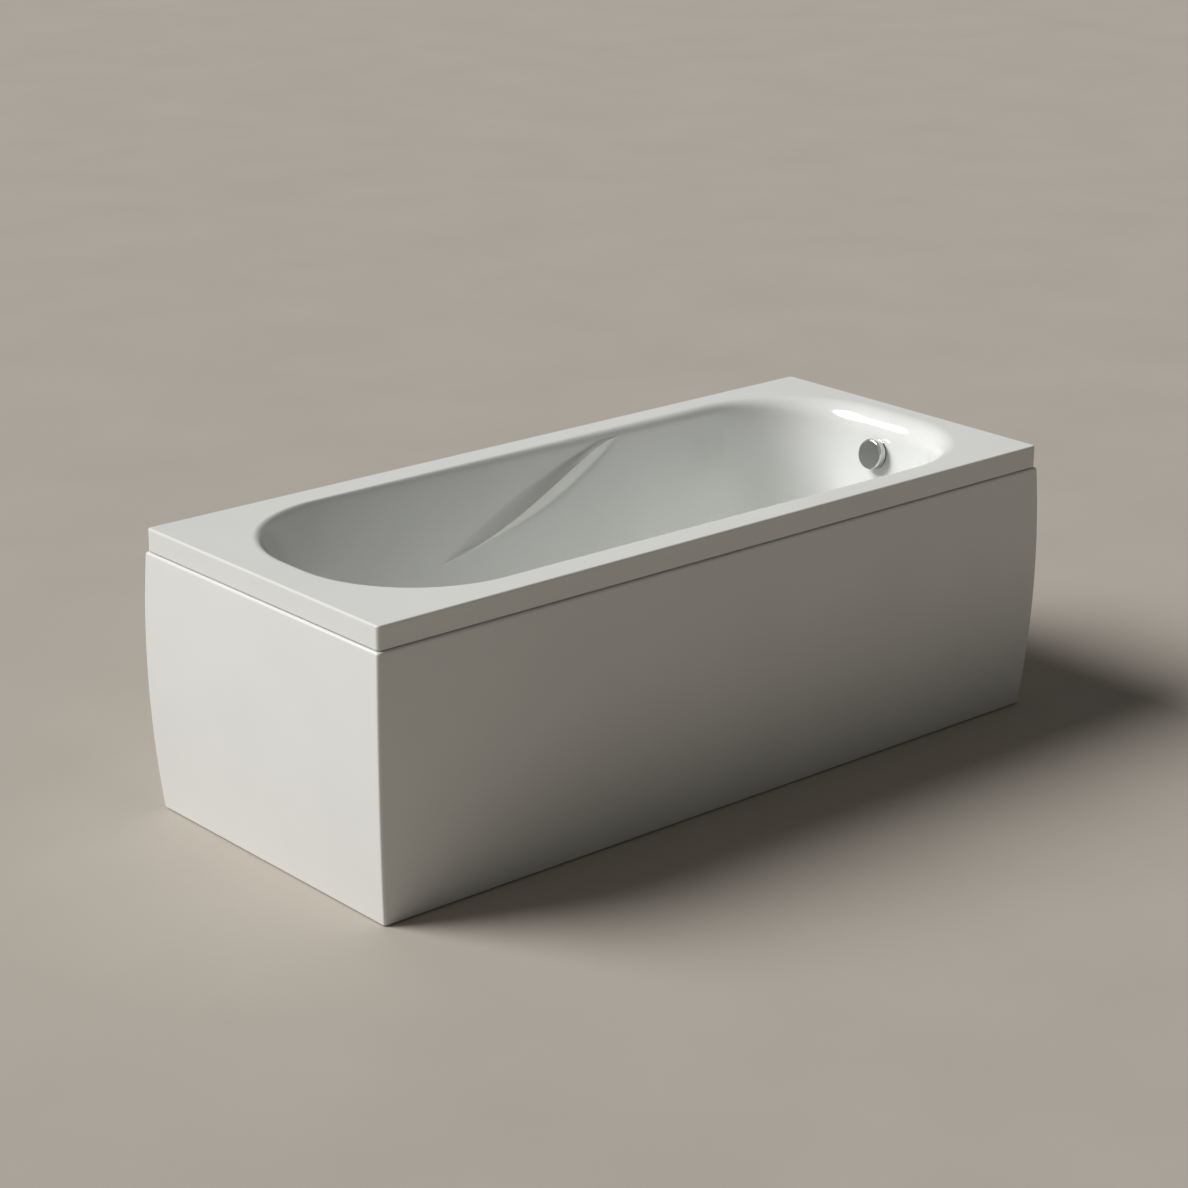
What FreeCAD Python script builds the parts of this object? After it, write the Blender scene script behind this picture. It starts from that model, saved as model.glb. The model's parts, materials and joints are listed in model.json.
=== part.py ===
import FreeCAD, Part
import math
import operator
import os
from types import SimpleNamespace

import Sketcher
from FreeCAD import Placement, Rotation, Vector

# Panelled acrylic bathtub with a turn-knob pop-up waste. Millimetres and degrees, +Z up. The origin lies on
# the ground under the middle of the rim, with +X towards the foot end and +Y towards the back.

RIM = {
    "rim_length": 1650,
    "rim_width": 700,
    "rim_height": 555,
    "skirt_height": 44,
    "shell_wall": 5,
    "rim_corner": 8,
    "rim_edge_round": 4,
}
# The floor height is above the ground, and each run is how far a wall leans in from the mouth to the floor.
BASIN = {
    "floor_height": 145,
    "head_rim": 82,
    "foot_rim": 78,
    "side_rim": 62,
    "head_run": 270,
    "foot_run": 72,
    "side_run": 87,
    "mouth_round": 15,
    "floor_round": 60,
}
# The corners' radii as shares of the basin's half width at that height
CORNER_SHARES = {
    "mouth_head_share": 0.885,
    "mouth_foot_share": 0.78,
    "floor_head_share": 0.845,
    "floor_foot_share": 0.745,
}
# The fold swells from the side walls: its brow lies above the line from tail to tip, the crest and
# the crease below it.
FOLD = {
    "fold_tail_x": -230,
    "fold_tail_drop": 172,
    "fold_tip_x": 258,
    "fold_tip_drop": 26,
    "fold_brow": 22,
    "fold_crest": 10,
    "fold_crease": 38,
    "fold_height": 20,
}
# Where each section of the fold's ridge stands, from its tail to its tip
FOLD_SHARES = (0.03, 0.15, 0.35, 0.5, 0.65, 0.85, 0.97)
# The panels' foot, belly and head stand in or out from the rim's edge.
PANELS = {
    "panel_wall": 4,
    "panel_gap": 2,
    "panel_floor_gap": 3,
    "panel_foot_inset": 6,
    "panel_belly": 9,
    "panel_head_out": 4,
    "panel_lip": 20,
    "panel_edge_round": 5,
    "mitre_gap": 0.4,
    "bracket_arm": 30,
    "bracket_height": 100,
    "bracket_wall": 2,
}
BATTENS = {
    "batten_width": 28,
    "batten_thick": 20,
    "batten_setback": 3,
    "batten_side_inset": 125,
    "batten_end_inset": 100,
    "clip_width": 30,
    "clip_wall": 1.5,
    "clip_hook": 10,
    "clip_side_pitch": 520,
    "clip_end_pitch": 280,
    "clip_screw_radius": 2,
    "clip_screw_length": 14,
    "clip_head_radius": 4,
    "clip_head_height": 2.5,
}
FRAME = {
    "board_thick": 18,
    "board_head_margin": 13,
    "board_side_margin": 5,
    "board_waste_gap": 105,
    "rail_width": 40,
    "rail_height": 25,
    "rail_wall": 2,
    "rail_inset": 75,
    "rail_overhang": 40,
    "rail_screw_pitch": 150,
    "rail_screw_radius": 2.5,
    "rail_screw_length": 14,
    "rail_screw_head_radius": 5,
    "rail_screw_head_height": 3,
    "leg_inset": 110,
    "stud_radius": 6,
    "stud_spare": 30,
    "pad_radius": 25,
    "pad_edge": 5,
    "pad_neck_radius": 12,
    "pad_height": 14,
    "pad_socket_depth": 8,
    "leg_nut_radius": 11,
    "leg_nut_height": 10,
    "stay_wall": 2,
    "stay_depth": 20,
    "stay_overlap": 30,
    "stay_foot": 30,
    "stay_bolt_radius": 3,
    "stay_bolt_setback": 18,
    "stay_head_radius": 5.5,
    "stay_head_height": 4,
}
# The outlet is set back from the floor's foot end, and heights are above the cup's underside.
WASTE = {
    "waste_setback": 130,
    "waste_hole_radius": 26,
    "waste_flange_radius": 35,
    "waste_flange_thick": 3,
    "waste_seal_thick": 1.5,
    "waste_tail_radius": 23,
    "waste_tail_wall": 3,
    "waste_tail_length": 23,
    "spider_bar": 6,
    "spider_thick": 4,
    "spider_hub_radius": 6,
    "lower_seal_thick": 3,
    "lower_seal_radius": 38,
    "cup_flange_radius": 40,
    "cup_flange_thick": 5,
    "cup_radius": 29,
    "cup_depth": 50,
    "cup_floor": 4,
    "plug_radius": 34,
    "plug_edge": 3,
    "plug_rise": 5,
    "plug_crown_radius": 22,
    "plug_seat_radius": 15,
    "plug_seat_depth": 6,
    "plug_seal_radius": 19.5,
    "plug_seal_thick": 3,
    "stem_radius": 3,
    "stem_socket": 5,
    "pivot_offset": 18,
    "pivot_height": 11,
    "pin_radius": 2,
    "pin_half_length": 21,
    "rocker_hub_radius": 4,
    "rocker_half_width": 5,
    "rocker_arm_length": 22,
    "rocker_arm_half_thick": 2,
}
TRAP = {
    "drain_radius": 20,
    "drain_wall": 3,
    "drain_bend": 32,
    "trap_clearance": 4,
    "trap_inlet_run": 10,
    "trap_riser_run": 4,
    "trap_outlet_run": 44,
    "elbow_inlet_run": 9,
    "spigot_clearance": 12,
    "washer_thick": 1,
    "drain_nut_radius": 26,
    "drain_nut_height": 16,
}
OVERFLOW = {
    "overflow_drop": 80,
    "overflow_hole_radius": 25,
    "ring_radius": 31,
    "ring_thick": 3,
    "ring_sleeve_radius": 24,
    "ring_sleeve_wall": 3,
    "ring_sleeve_length": 22,
    "knob_radius": 32,
    "knob_reach": 25,
    "knob_gap": 5,
    "knob_wall": 4,
    "knob_edge_round": 3.5,
    "knob_hub_radius": 8,
    "knob_socket": 12,
    "spindle_radius": 4,
    "overflow_seal_thick": 3,
    "overflow_seal_radius": 37,
    "chamber_flange_radius": 38,
    "chamber_flange_thick": 4,
    "chamber_radius": 30,
    "chamber_wall": 4,
    "chamber_depth": 42,
    "crank_thick": 6,
    "crank_hub_radius": 8,
    "crank_reach": 17,
    "crank_end_radius": 4,
    "crank_back_gap": 4,
}
# The pipe and the cable run to the sides of the middle plane, at a level above the cup's underside.
PIPES = {
    "pipe_radius": 14,
    "pipe_wall": 2,
    "pipe_side": 10,
    "pipe_bend": 70,
    "pipe_level": 18,
    "socket_wall": 3,
    "socket_reach": 62,
    "socket_depth": 20,
    "outlet_reach": 46,
    "pipe_nut_wall": 3,
    "pipe_nut_height": 14,
    "cable_radius": 3,
    "cable_side": -18,
    "cable_boss_radius": 5.5,
    "cable_boss_reach": 42,
    "cable_grip": 12,
    "gland_radius": 6.5,
    "gland_length": 10,
}
# Radial fits: running for what turns or slides in its bore, loose elsewhere
CLEARANCES = {
    "running_fit": 0.05,
    "loose_fit": 0.3,
    "cut_overrun": 3,
}
SIZES = {
    **RIM,
    **BASIN,
    **CORNER_SHARES,
    **FOLD,
    **PANELS,
    **BATTENS,
    **FRAME,
    **WASTE,
    **TRAP,
    **OVERFLOW,
    **PIPES,
    **CLEARANCES,
}

SYMMETRIC = "Symmetric"
WHOLE_TURN = 360
HALF_TURN = 180
QUARTER_TURN = 90
NEAR = 1e-3

doc = FreeCAD.newDocument("panelled_bathtub")
sheet = doc.addObject("Spreadsheet::Sheet", "sizes")
for row, (alias, number) in enumerate(SIZES.items(), start=1):
    sheet.set(f"A{row}", alias)
    sheet.set(f"B{row}", str(number))
    sheet.setAlias(f"B{row}", alias)
doc.recompute()


class Size:
    """A size that knows its number and the formula over the sheet's cells that gives it."""

    def __init__(self, number, formula):
        self.number = number
        self.formula = formula

    def __float__(self):
        return float(self.number)

    def __add__(self, other):
        return combined(self, "+", other)

    def __radd__(self, other):
        return combined(other, "+", self)

    def __sub__(self, other):
        return combined(self, "-", other)

    def __rsub__(self, other):
        return combined(other, "-", self)

    def __mul__(self, other):
        return combined(self, "*", other)

    def __rmul__(self, other):
        return combined(other, "*", self)

    def __truediv__(self, other):
        return combined(self, "/", other)

    def __neg__(self):
        return combined(-1, "*", self)


SIGNS = {"+": operator.add, "-": operator.sub, "*": operator.mul, "/": operator.truediv}
RIGHT_ANGLE = Size(90, "90 deg")


def as_size(value):
    return value if isinstance(value, Size) else Size(value, repr(value))


def combined(left, sign, right):
    left = as_size(left)
    right = as_size(right)
    number = SIGNS[sign](left.number, right.number)
    return Size(number, f"({left.formula} {sign} {right.formula})")


def lean_angle(run, rise):
    """The angle off the vertical of a wall that leans by run over rise."""
    ratio = run / rise
    return Size(math.degrees(math.atan(ratio.number)), f"atan({ratio.formula})")


def cosine(angle):
    return Size(math.cos(math.radians(angle.number)), f"cos({angle.formula})")


size = SimpleNamespace(**{alias: Size(float(sheet.get(alias)), f"sizes.{alias}") for alias in SIZES})

# Places that follow from the sizes
half_length = size.rim_length / 2
half_width = size.rim_width / 2
skirt_bottom = size.rim_height - size.skirt_height
deck_under = size.rim_height - size.shell_wall
basin_depth = size.rim_height - size.floor_height
mouth_head = half_length - size.head_rim
mouth_foot = half_length - size.foot_rim
mouth_half = half_width - size.side_rim
floor_head = mouth_head - size.head_run
floor_foot = mouth_foot - size.foot_run
floor_half = mouth_half - size.side_run
floor_under = size.floor_height - size.shell_wall
panel_top = skirt_bottom - size.panel_gap
panel_middle = (panel_top + size.panel_floor_gap) / 2
batten_under = deck_under - size.batten_thick
batten_out = size.shell_wall + size.batten_setback  # the batten's outer face, in from the rim's edge
board_under = floor_under - size.board_thick
rail_under = board_under - size.rail_height
leg_side = half_width - size.leg_inset
waste_x = floor_foot - size.waste_setback
seal_top = size.floor_height + size.waste_seal_thick
cup_top = floor_under - size.lower_seal_thick
cup_under = cup_top - size.cup_depth
tail_end = cup_top - size.waste_tail_length
tail_bore = size.waste_tail_radius - size.waste_tail_wall
pivot_z = cup_under + size.pivot_height
pivot_x = waste_x - size.pivot_offset
pipe_z = cup_under + size.pipe_level
socket_radius = size.pipe_radius + size.socket_wall
socket_bore = size.pipe_radius + size.running_fit
cable_bore = size.cable_radius + size.running_fit
trap_low = size.trap_clearance + size.drain_radius
trap_top = trap_low + size.drain_bend + size.trap_inlet_run
trap_side = size.drain_bend * 2
trap_outlet_z = trap_low + size.drain_bend * 2 + size.trap_riser_run
trap_end = trap_side + size.drain_bend + size.trap_outlet_run
elbow_start = trap_end + size.washer_thick
spigot_side = elbow_start + size.elbow_inlet_run + size.drain_bend
tail_under = trap_top + size.washer_thick
foot_lean = lean_angle(size.foot_run, basin_depth)
overflow_x = mouth_foot - size.overflow_drop * size.foot_run / basin_depth
overflow_z = size.rim_height - size.overflow_drop
foot_wall_back = -size.shell_wall * cosine(foot_lean)
chamber_front = foot_wall_back - size.overflow_seal_thick
chamber_back = chamber_front - size.chamber_depth - size.chamber_wall
outlet_axis = chamber_back + size.chamber_wall + socket_radius
pieces = []


def keep(thing, label):
    """Names a sub-part and lists it for writing."""
    thing.Label = label
    pieces.append(thing)
    return thing


def bind(thing, **sizes):
    for name, value in sizes.items():
        thing.setExpression(name, as_size(value).formula)


def settle(thing, x=0, y=0, z=0):
    for axis, spot in zip("xyz", (x, y, z)):
        thing.setExpression(f"Placement.Base.{axis}", as_size(spot).formula)


def settle_on_foot_wall(thing):
    """Stands a piece on the foot wall: its own Z points into the basin and its own X up along the wall."""
    thing.Placement = foot_wall_frame()
    settle(thing, overflow_x, 0, overflow_z)
    thing.setExpression("Placement.Rotation.Angle", (foot_lean - RIGHT_ANGLE).formula)


def foot_wall_frame():
    turn = Rotation(Vector(0, 1, 0), float(foot_lean - RIGHT_ANGLE))
    return Placement(Vector(float(overflow_x), 0, float(overflow_z)), turn)


def origin_plane(body, role):
    return next(feature for feature in body.Origin.OriginFeatures if feature.Role == role)


def sketch_in(body, name, role, lift=0):
    sketch = body.newObject("Sketcher::SketchObject", name)
    sketch.AttachmentSupport = [(origin_plane(body, role), "")]
    sketch.MapMode = "FlatFace"
    sketch.setExpression("AttachmentOffset.Base.z", as_size(lift).formula)
    return sketch


def pin_down(sketch, curve, end, spot):
    """Ties one point of a curve to its place, measured from the sketch's origin."""
    for kind, value in zip(("DistanceX", "DistanceY"), spot):
        value = as_size(value)
        index = sketch.addConstraint(Sketcher.Constraint(kind, -1, 1, curve, end, float(value)))
        sketch.setExpression(f"Constraints[{index}]", value.formula)


def set_radius(sketch, curve, radius):
    index = sketch.addConstraint(Sketcher.Constraint("Radius", curve, float(radius)))
    sketch.setExpression(f"Constraints[{index}]", radius.formula)


def flat_spot(spot):
    return Vector(float(spot[0]), float(spot[1]), 0)


def draw_polygon(sketch, spots):
    """A closed outline of straight edges."""
    first = sketch.GeometryCount
    count = len(spots)
    for i, spot in enumerate(spots):
        edge = Part.LineSegment(flat_spot(spot), flat_spot(spots[(i + 1) % count]))
        sketch.addGeometry(edge, False)
    for i, spot in enumerate(spots):
        sketch.addConstraint(Sketcher.Constraint("Coincident", first + i, 2, first + (i + 1) % count, 1))
        pin_down(sketch, first + i, 1, spot)


def draw_rectangle(sketch, low, high):
    draw_polygon(sketch, [low, (high[0], low[1]), high, (low[0], high[1])])


def draw_circle(sketch, spot, radius):
    curve = sketch.addGeometry(Part.Circle(flat_spot(spot), Vector(0, 0, 1), float(radius)), False)
    pin_down(sketch, curve, 3, spot)
    set_radius(sketch, curve, radius)


def new_body(label):
    return doc.addObject("PartDesign::Body", label)


def add_pad(body, sketch, length, reversed_way=False, symmetric=False):
    pad = body.newObject("PartDesign::Pad", f"{sketch.Name}_pad")
    pad.Profile = sketch
    pad.setExpression("Length", as_size(length).formula)
    pad.Reversed = reversed_way
    if symmetric:
        pad.SideType = SYMMETRIC
    return pad


def cut_through(body, sketch):
    """Cuts a sketch through the whole body, both ways."""
    pocket = body.newObject("PartDesign::Pocket", f"{sketch.Name}_cut")
    pocket.Profile = sketch
    pocket.SideType = SYMMETRIC
    pocket.Type = "ThroughAll"
    return pocket


def cut_depth(body, sketch, depth, reversed_way=False):
    pocket = body.newObject("PartDesign::Pocket", f"{sketch.Name}_cut")
    pocket.Profile = sketch
    pocket.setExpression("Length", as_size(depth).formula)
    pocket.Reversed = reversed_way
    return pocket


def turn_section(body, name, spots, kind="PartDesign::Revolution"):
    """Adds or cuts a solid turned about the body's Z axis from (radius, height) spots."""
    section = sketch_in(body, f"{name}_section", "XZ_Plane")
    draw_polygon(section, spots)
    turn = body.newObject(kind, f"{name}_turn")
    turn.Profile = section
    turn.ReferenceAxis = (section, ["V_Axis"])
    turn.Angle = WHOLE_TURN
    return turn


def turned(label, spots):
    body = new_body(label)
    turn_section(body, label, spots)
    return body


def turned_ring(label, inner, outer, low, high):
    return turned(label, [(inner, low), (outer, low), (outer, high), (inner, high)])


def edges_where(thing, test):
    doc.recompute()
    return [i for i, edge in enumerate(thing.Shape.Edges, start=1) if test(edge.BoundBox)]


def round_edges(thing, name, radius, test):
    rounded = doc.addObject("Part::Fillet", name)
    rounded.Base = thing
    rounded.Edges = [(i, float(radius), float(radius)) for i in edges_where(thing, test)]
    return rounded


def round_body_edges(body, name, radius, test):
    base = body.Tip
    picks = [f"Edge{i}" for i in edges_where(base, test)]
    rounded = body.newObject("PartDesign::Fillet", name)
    rounded.Base = (base, picks)
    rounded.setExpression("Radius", radius.formula)
    body.Tip = rounded


def joined(name, things):
    fuse = doc.addObject("Part::MultiFuse", name)
    fuse.Shapes = things
    return fuse


def cut_away(name, base, tool):
    cut = doc.addObject("Part::Cut", name)
    cut.Base = base
    cut.Tool = tool
    return cut


def box(name, low, high):
    """A block between two corners."""
    block = doc.addObject("Part::Box", name)
    spans = [b - a for a, b in zip(low, high)]
    bind(block, Length=spans[0], Width=spans[1], Height=spans[2])
    settle(block, *low)
    return block


def cylinder(name, radius, low, high, x=0, y=0):
    rod = doc.addObject("Part::Cylinder", name)
    bind(rod, Radius=radius, Height=high - low)
    settle(rod, x, y, low)
    return rod


def group(label, copies):
    """One sub-part of separate solids: copies of master pieces, each as (master, placement)."""
    doc.recompute()
    solids = []
    for master, placement in copies:
        solid = master.Shape.copy()
        solid.Placement = placement.multiply(solid.Placement)
        solids.append(solid)
    bundle = doc.addObject("Part::Feature", label)
    bundle.Shape = Part.makeCompound(solids)
    return keep(bundle, label)


def bent_wire(corners, bend):
    """Straight runs through corners, joined by tangent arcs of one radius."""
    edges = []
    start = corners[0]
    for before, corner, after in zip(corners, corners[1:], corners[2:]):
        way_in = (corner - before).normalize()
        way_out = (after - corner).normalize()
        turn = way_in.getAngle(way_out)
        reach = bend * math.tan(turn / 2)
        arc_start = corner - way_in * reach
        arc_end = corner + way_out * reach
        inward = (way_out - way_in).normalize()
        centre = corner + inward * (bend / math.cos(turn / 2))
        if start.distanceToPoint(arc_start) > NEAR:
            edges.append(Part.LineSegment(start, arc_start).toShape())
        edges.append(Part.Arc(arc_start, centre - inward * bend, arc_end).toShape())
        start = arc_end
    if start.distanceToPoint(corners[-1]) > NEAR:
        edges.append(Part.LineSegment(start, corners[-1]).toShape())
    return Part.Wire(edges)


def swept_rod(wire, corners, radius):
    ring = Part.Wire(Part.makeCircle(radius, corners[0], corners[1] - corners[0]))
    rod = wire.makePipeShell([ring], True, False)
    print(f"swept rod {rod.Volume:.0f} against {math.pi * radius ** 2 * wire.Length:.0f}")
    return rod


def pipe(label, corners, bend, radius, bore=None):
    """A bent pipe, or a solid rod where it has no bore."""
    wire = bent_wire(corners, float(bend))
    shape = swept_rod(wire, corners, float(radius))
    if bore is not None:
        shape = shape.cut(swept_rod(wire, corners, float(bore)))
    bent = doc.addObject("Part::Feature", label)
    bent.Shape = shape
    return keep(bent, label)


# Acrylic shell: rim, skirt and basin


def basin_section(name, height, head, foot, half, head_corner, foot_corner):
    """A level outline of the basin: straight sides and ends joined by two head arcs and two foot arcs."""
    sketch = doc.addObject("Sketcher::SketchObject", name)
    settle(sketch, z=height)
    foot_centre = foot - foot_corner
    head_centre = head_corner - head
    corners = [
        (foot_centre, foot_corner - half, foot_corner),
        (foot_centre, half - foot_corner, foot_corner),
        (head_centre, half - head_corner, head_corner),
        (head_centre, head_corner - half, head_corner),
    ]
    count = len(corners)
    quarter = 2 * math.pi / count
    for i, (x, y, radius) in enumerate(corners):
        ring = Part.Circle(flat_spot((x, y)), Vector(0, 0, 1), float(radius))
        sketch.addGeometry(Part.ArcOfCircle(ring, (i - 1) * quarter, i * quarter), False)
        level_end = 2 if i % 2 == 0 else 1
        sketch.addConstraint(Sketcher.Constraint("Horizontal", i, 3, i, level_end))
        sketch.addConstraint(Sketcher.Constraint("Vertical", i, 3, i, 3 - level_end))
        pin_down(sketch, i, 3, (x, y))
        set_radius(sketch, i, radius)
    for i in range(count):
        after = (i + 1) % count
        run = Part.LineSegment(sketch.getPoint(i, 2), sketch.getPoint(after, 1))
        line = sketch.addGeometry(run, False)
        sketch.addConstraint(Sketcher.Constraint("Coincident", i, 2, line, 1))
        sketch.addConstraint(Sketcher.Constraint("Coincident", line, 2, after, 1))
    return sketch


def basin_solid(name, wall, top, floor):
    """The basin's hollow as a solid, its walls moved out by wall and its floor corner rounded to suit."""

    def section(part, height, level, head, foot, half, head_corner, foot_corner):
        rise = (height - level) / basin_depth
        return basin_section(
            f"{name}_{part}",
            height,
            head + wall + size.head_run * rise,
            foot + wall + size.foot_run * rise,
            half + wall + size.side_run * rise,
            head_corner + wall,
            foot_corner + wall,
        )

    floor_corners = (floor_half * size.floor_head_share, floor_half * size.floor_foot_share)
    mouth_corners = (mouth_half * size.mouth_head_share, mouth_half * size.mouth_foot_share)
    lower = section("floor", floor, size.floor_height, floor_head, floor_foot, floor_half, *floor_corners)
    upper = section("mouth", top, size.rim_height, mouth_head, mouth_foot, mouth_half, *mouth_corners)
    loft = doc.addObject("Part::Loft", f"{name}_loft")
    loft.Sections = [lower, upper]
    loft.Solid = True
    loft.Ruled = True
    return round_edges(loft, name, size.floor_round + wall, lambda edge: edge.ZMax < float(floor) + NEAR)


def fold_frame():
    """On the back side wall: X runs up the fold, Y down across the wall and Z out through its back."""
    lean = float(size.side_run / basin_depth)

    def on_wall(x, drop):
        return Vector(float(x), float(mouth_half) - float(drop) * lean, float(size.rim_height - drop))

    tail = on_wall(size.fold_tail_x, size.fold_tail_drop)
    tip = on_wall(size.fold_tip_x, size.fold_tip_drop)
    along = (tip - tail).normalize()
    outward = Vector(0, 1, -lean).normalize()
    turn = Rotation(along, outward.cross(along), outward, "ZXY")
    return Placement((tail + tip) / 2, turn), tail.distanceToPoint(tip) / 2


def fold_ridges(name, wall):
    """The folds of both side walls as solids, moved out by wall: brow, crest and crease, from tail to tip."""
    frame, half_chord = fold_frame()
    overrun = float(size.cut_overrun)
    sections = []
    for share in FOLD_SHARES:
        along = (2 * share - 1) * half_chord
        swell = math.sin(math.pi * share)
        brow = -float(size.fold_brow) * swell
        crest = float(size.fold_crest) * swell
        crease = float(size.fold_crease) * swell
        top = wall - float(size.fold_height) * swell
        spots = [(brow, wall + overrun), (brow, wall), (crest, top), (crease, wall), (crease, wall + overrun)]
        points = [Vector(along, across, out) for across, out in spots]
        sections.append(Part.makePolygon([*points, points[0]]))
    ridge = doc.addObject("Part::Feature", f"{name}_back")
    ridge.Shape = Part.makeLoft(sections, True, True)
    ridge.Placement = frame
    twin = doc.addObject("Part::Mirroring", f"{name}_front")
    twin.Source = ridge
    twin.Normal = Vector(0, 1, 0)
    return joined(name, [ridge, twin])


def make_tub_shell():
    edge_x = half_length
    edge_y = half_width
    wall = size.shell_wall
    slab = box("rim_slab", (-edge_x, -edge_y, skirt_bottom), (edge_x, edge_y, size.rim_height))
    upright = float(size.skirt_height) - NEAR
    slab = round_edges(slab, "rim_corners", size.rim_corner, lambda edge: edge.ZLength > upright)
    top = float(size.rim_height) - NEAR
    slab = round_edges(slab, "rim_edges", size.rim_edge_round, lambda edge: edge.ZMin > top)
    hollow = box(
        "rim_hollow",
        (wall - edge_x, wall - edge_y, skirt_bottom - size.cut_overrun),
        (edge_x - wall, edge_y - wall, deck_under),
    )
    rim = cut_away("rim", slab, hollow)
    outside = basin_solid("basin_outside", wall, size.rim_height - wall / 2, floor_under)
    solid = joined("shell_outside", [rim, outside])
    solid = cut_away("shell_solid", solid, fold_ridges("fold_backs", float(wall)))
    inside = basin_solid("basin_inside", wall - wall, size.rim_height + size.cut_overrun, size.floor_height)
    void = cut_away("shell_void", inside, fold_ridges("fold_faces", 0))
    shell = cut_away("shell_open", solid, void)
    mouth_x = float(mouth_foot + size.foot_rim / 2)
    mouth_y = float(mouth_half + size.side_rim / 2)

    def in_mouth(edge):
        return max(-edge.XMin, edge.XMax) < mouth_x and edge.YMax < mouth_y

    shell = round_edges(
        shell,
        "shell_mouth",
        size.mouth_round,
        lambda edge: edge.ZMin > top and in_mouth(edge),
    )
    low = float(deck_under) - NEAR
    high = float(deck_under) + NEAR
    shell = round_edges(
        shell,
        "shell_neck",
        size.mouth_round - wall,
        lambda edge: low < edge.ZMin and edge.ZMax < high and in_mouth(edge),
    )
    waste_hole = cylinder(
        "waste_hole",
        size.waste_hole_radius,
        floor_under - size.cut_overrun,
        size.floor_height + size.cut_overrun,
        waste_x,
    )
    overflow_hole = turned_ring(
        "overflow_hole",
        as_size(0),
        size.overflow_hole_radius,
        -size.shell_wall - size.cut_overrun,
        size.cut_overrun,
    )
    settle_on_foot_wall(overflow_hole)
    keep(cut_away("tub_shell", shell, joined("shell_holes", [waste_hole, overflow_hole])), "tub_shell")


# Panels, and what holds them to the rim

SIDES = {
    "front": (HALF_TURN, 0, -half_width),
    "back": (0, 0, half_width),
    "head": (QUARTER_TURN, -half_length, 0),
    "foot": (-QUARTER_TURN, half_length, 0),
}


def side_frame(side, along=0):
    """The middle of one rim edge: X along the edge and Y outwards."""
    angle, x, y = SIDES[side]
    turn = Rotation(Vector(0, 0, 1), angle)
    middle = Vector(float(x), float(y), 0)
    return Placement(middle + turn.multVec(Vector(float(along), 0, 0)), turn)


def belly_at(height):
    """How far the panels' outer face stands out from the rim's edge at a height."""
    step = (height - panel_middle) / (panel_top - panel_middle)
    foot = -size.panel_foot_inset
    lean = (size.panel_head_out - foot) / 2
    bow = (size.panel_head_out + foot) / 2 - size.panel_belly
    return size.panel_belly + lean * step + bow * step * step


def draw_barrel(sketch):
    """The panels' section: a barrelled wall with a lip turned in at its head and at its foot."""
    wall = size.panel_wall
    head = size.panel_head_out
    foot = -size.panel_foot_inset
    low = size.panel_floor_gap
    belly = size.panel_belly
    outer = [(foot, low), (belly, panel_middle), (head, panel_top)]
    inner = [(head - wall, panel_top - wall), (belly - wall, panel_middle), (foot - wall, low + wall)]
    for arc in (outer, inner):
        start, middle, end = (flat_spot(spot) for spot in arc)
        curve = sketch.addGeometry(Part.Arc(start, middle, end), False)
        starts_first = sketch.getPoint(curve, 1).isEqual(start, NEAR)
        pin_down(sketch, curve, 1 if starts_first else 2, arc[0])
        pin_down(sketch, curve, 2 if starts_first else 1, arc[2])
        through = sketch.addGeometry(Part.Point(middle), True)
        pin_down(sketch, through, 1, arc[1])
        sketch.addConstraint(Sketcher.Constraint("PointOnObject", through, 1, curve))
    lips = [
        [outer[2], (head - size.panel_lip, panel_top), (head - size.panel_lip, panel_top - wall), inner[0]],
        [inner[2], (foot - size.panel_lip, low + wall), (foot - size.panel_lip, low), outer[0]],
    ]
    for lip in lips:
        for start, end in zip(lip, lip[1:]):
            edge = sketch.addGeometry(Part.LineSegment(flat_spot(start), flat_spot(end)), False)
            pin_down(sketch, edge, 1, start)
            pin_down(sketch, edge, 2, end)


def make_panel(side, half_span):
    label = f"{side}_panel"
    body = new_body(label)
    section = sketch_in(body, f"{label}_section", "YZ_Plane")
    draw_barrel(section)
    reach = size.panel_lip * 2
    add_pad(body, section, (half_span + reach) * 2, symmetric=True)
    mitre = sketch_in(body, f"{label}_mitre", "XY_Plane")
    gap = size.mitre_gap / 2
    far = half_span + reach * 2
    for sign in (-1, 1):
        near = (half_span - reach - gap) * sign
        draw_polygon(mitre, [(near, -reach), (far * sign, -reach), (far * sign, reach * 2 + gap)])
    cut_through(body, mitre)
    crest = float(panel_top) - NEAR
    brow = float(size.panel_head_out) - NEAR
    half = float(half_span)

    def on_brow(edge):
        return edge.ZMin > crest and edge.YMin > brow and edge.XLength > half

    doc.recompute()
    round_body_edges(body, f"{label}_brow", size.panel_edge_round, on_brow)
    turn, x, y = SIDES[side]
    body.Placement = Placement(Vector(), Rotation(Vector(0, 0, 1), turn))
    settle(body, x, y)
    keep(body, label)


def make_corner_brackets():
    arm = size.bracket_arm
    wall = size.bracket_wall
    half_height = size.bracket_height / 2
    low = panel_middle - half_height
    angle = new_body("corner_bracket")
    section = sketch_in(angle, "corner_bracket_section", "XY_Plane", low)
    draw_polygon(section, [(0, 0), (0, -arm), (-wall, -arm), (-wall, -wall), (-arm, -wall), (-arm, 0)])
    add_pad(angle, section, size.bracket_height)
    narrowest = min(belly_at(low), belly_at(panel_middle + half_height), key=float)
    seat = float(narrowest - size.panel_wall - size.running_fit)
    across = float(half_width) + seat
    along = float(half_length) + seat
    corners = [(along, across), (-along, across), (-along, -across), (along, -across)]
    frames = []
    for i, (x, y) in enumerate(corners):
        frames.append(Placement(Vector(x, y, 0), Rotation(Vector(0, 0, 1), QUARTER_TURN * i)))
    group("corner_brackets", [(angle, frame) for frame in frames])


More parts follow.
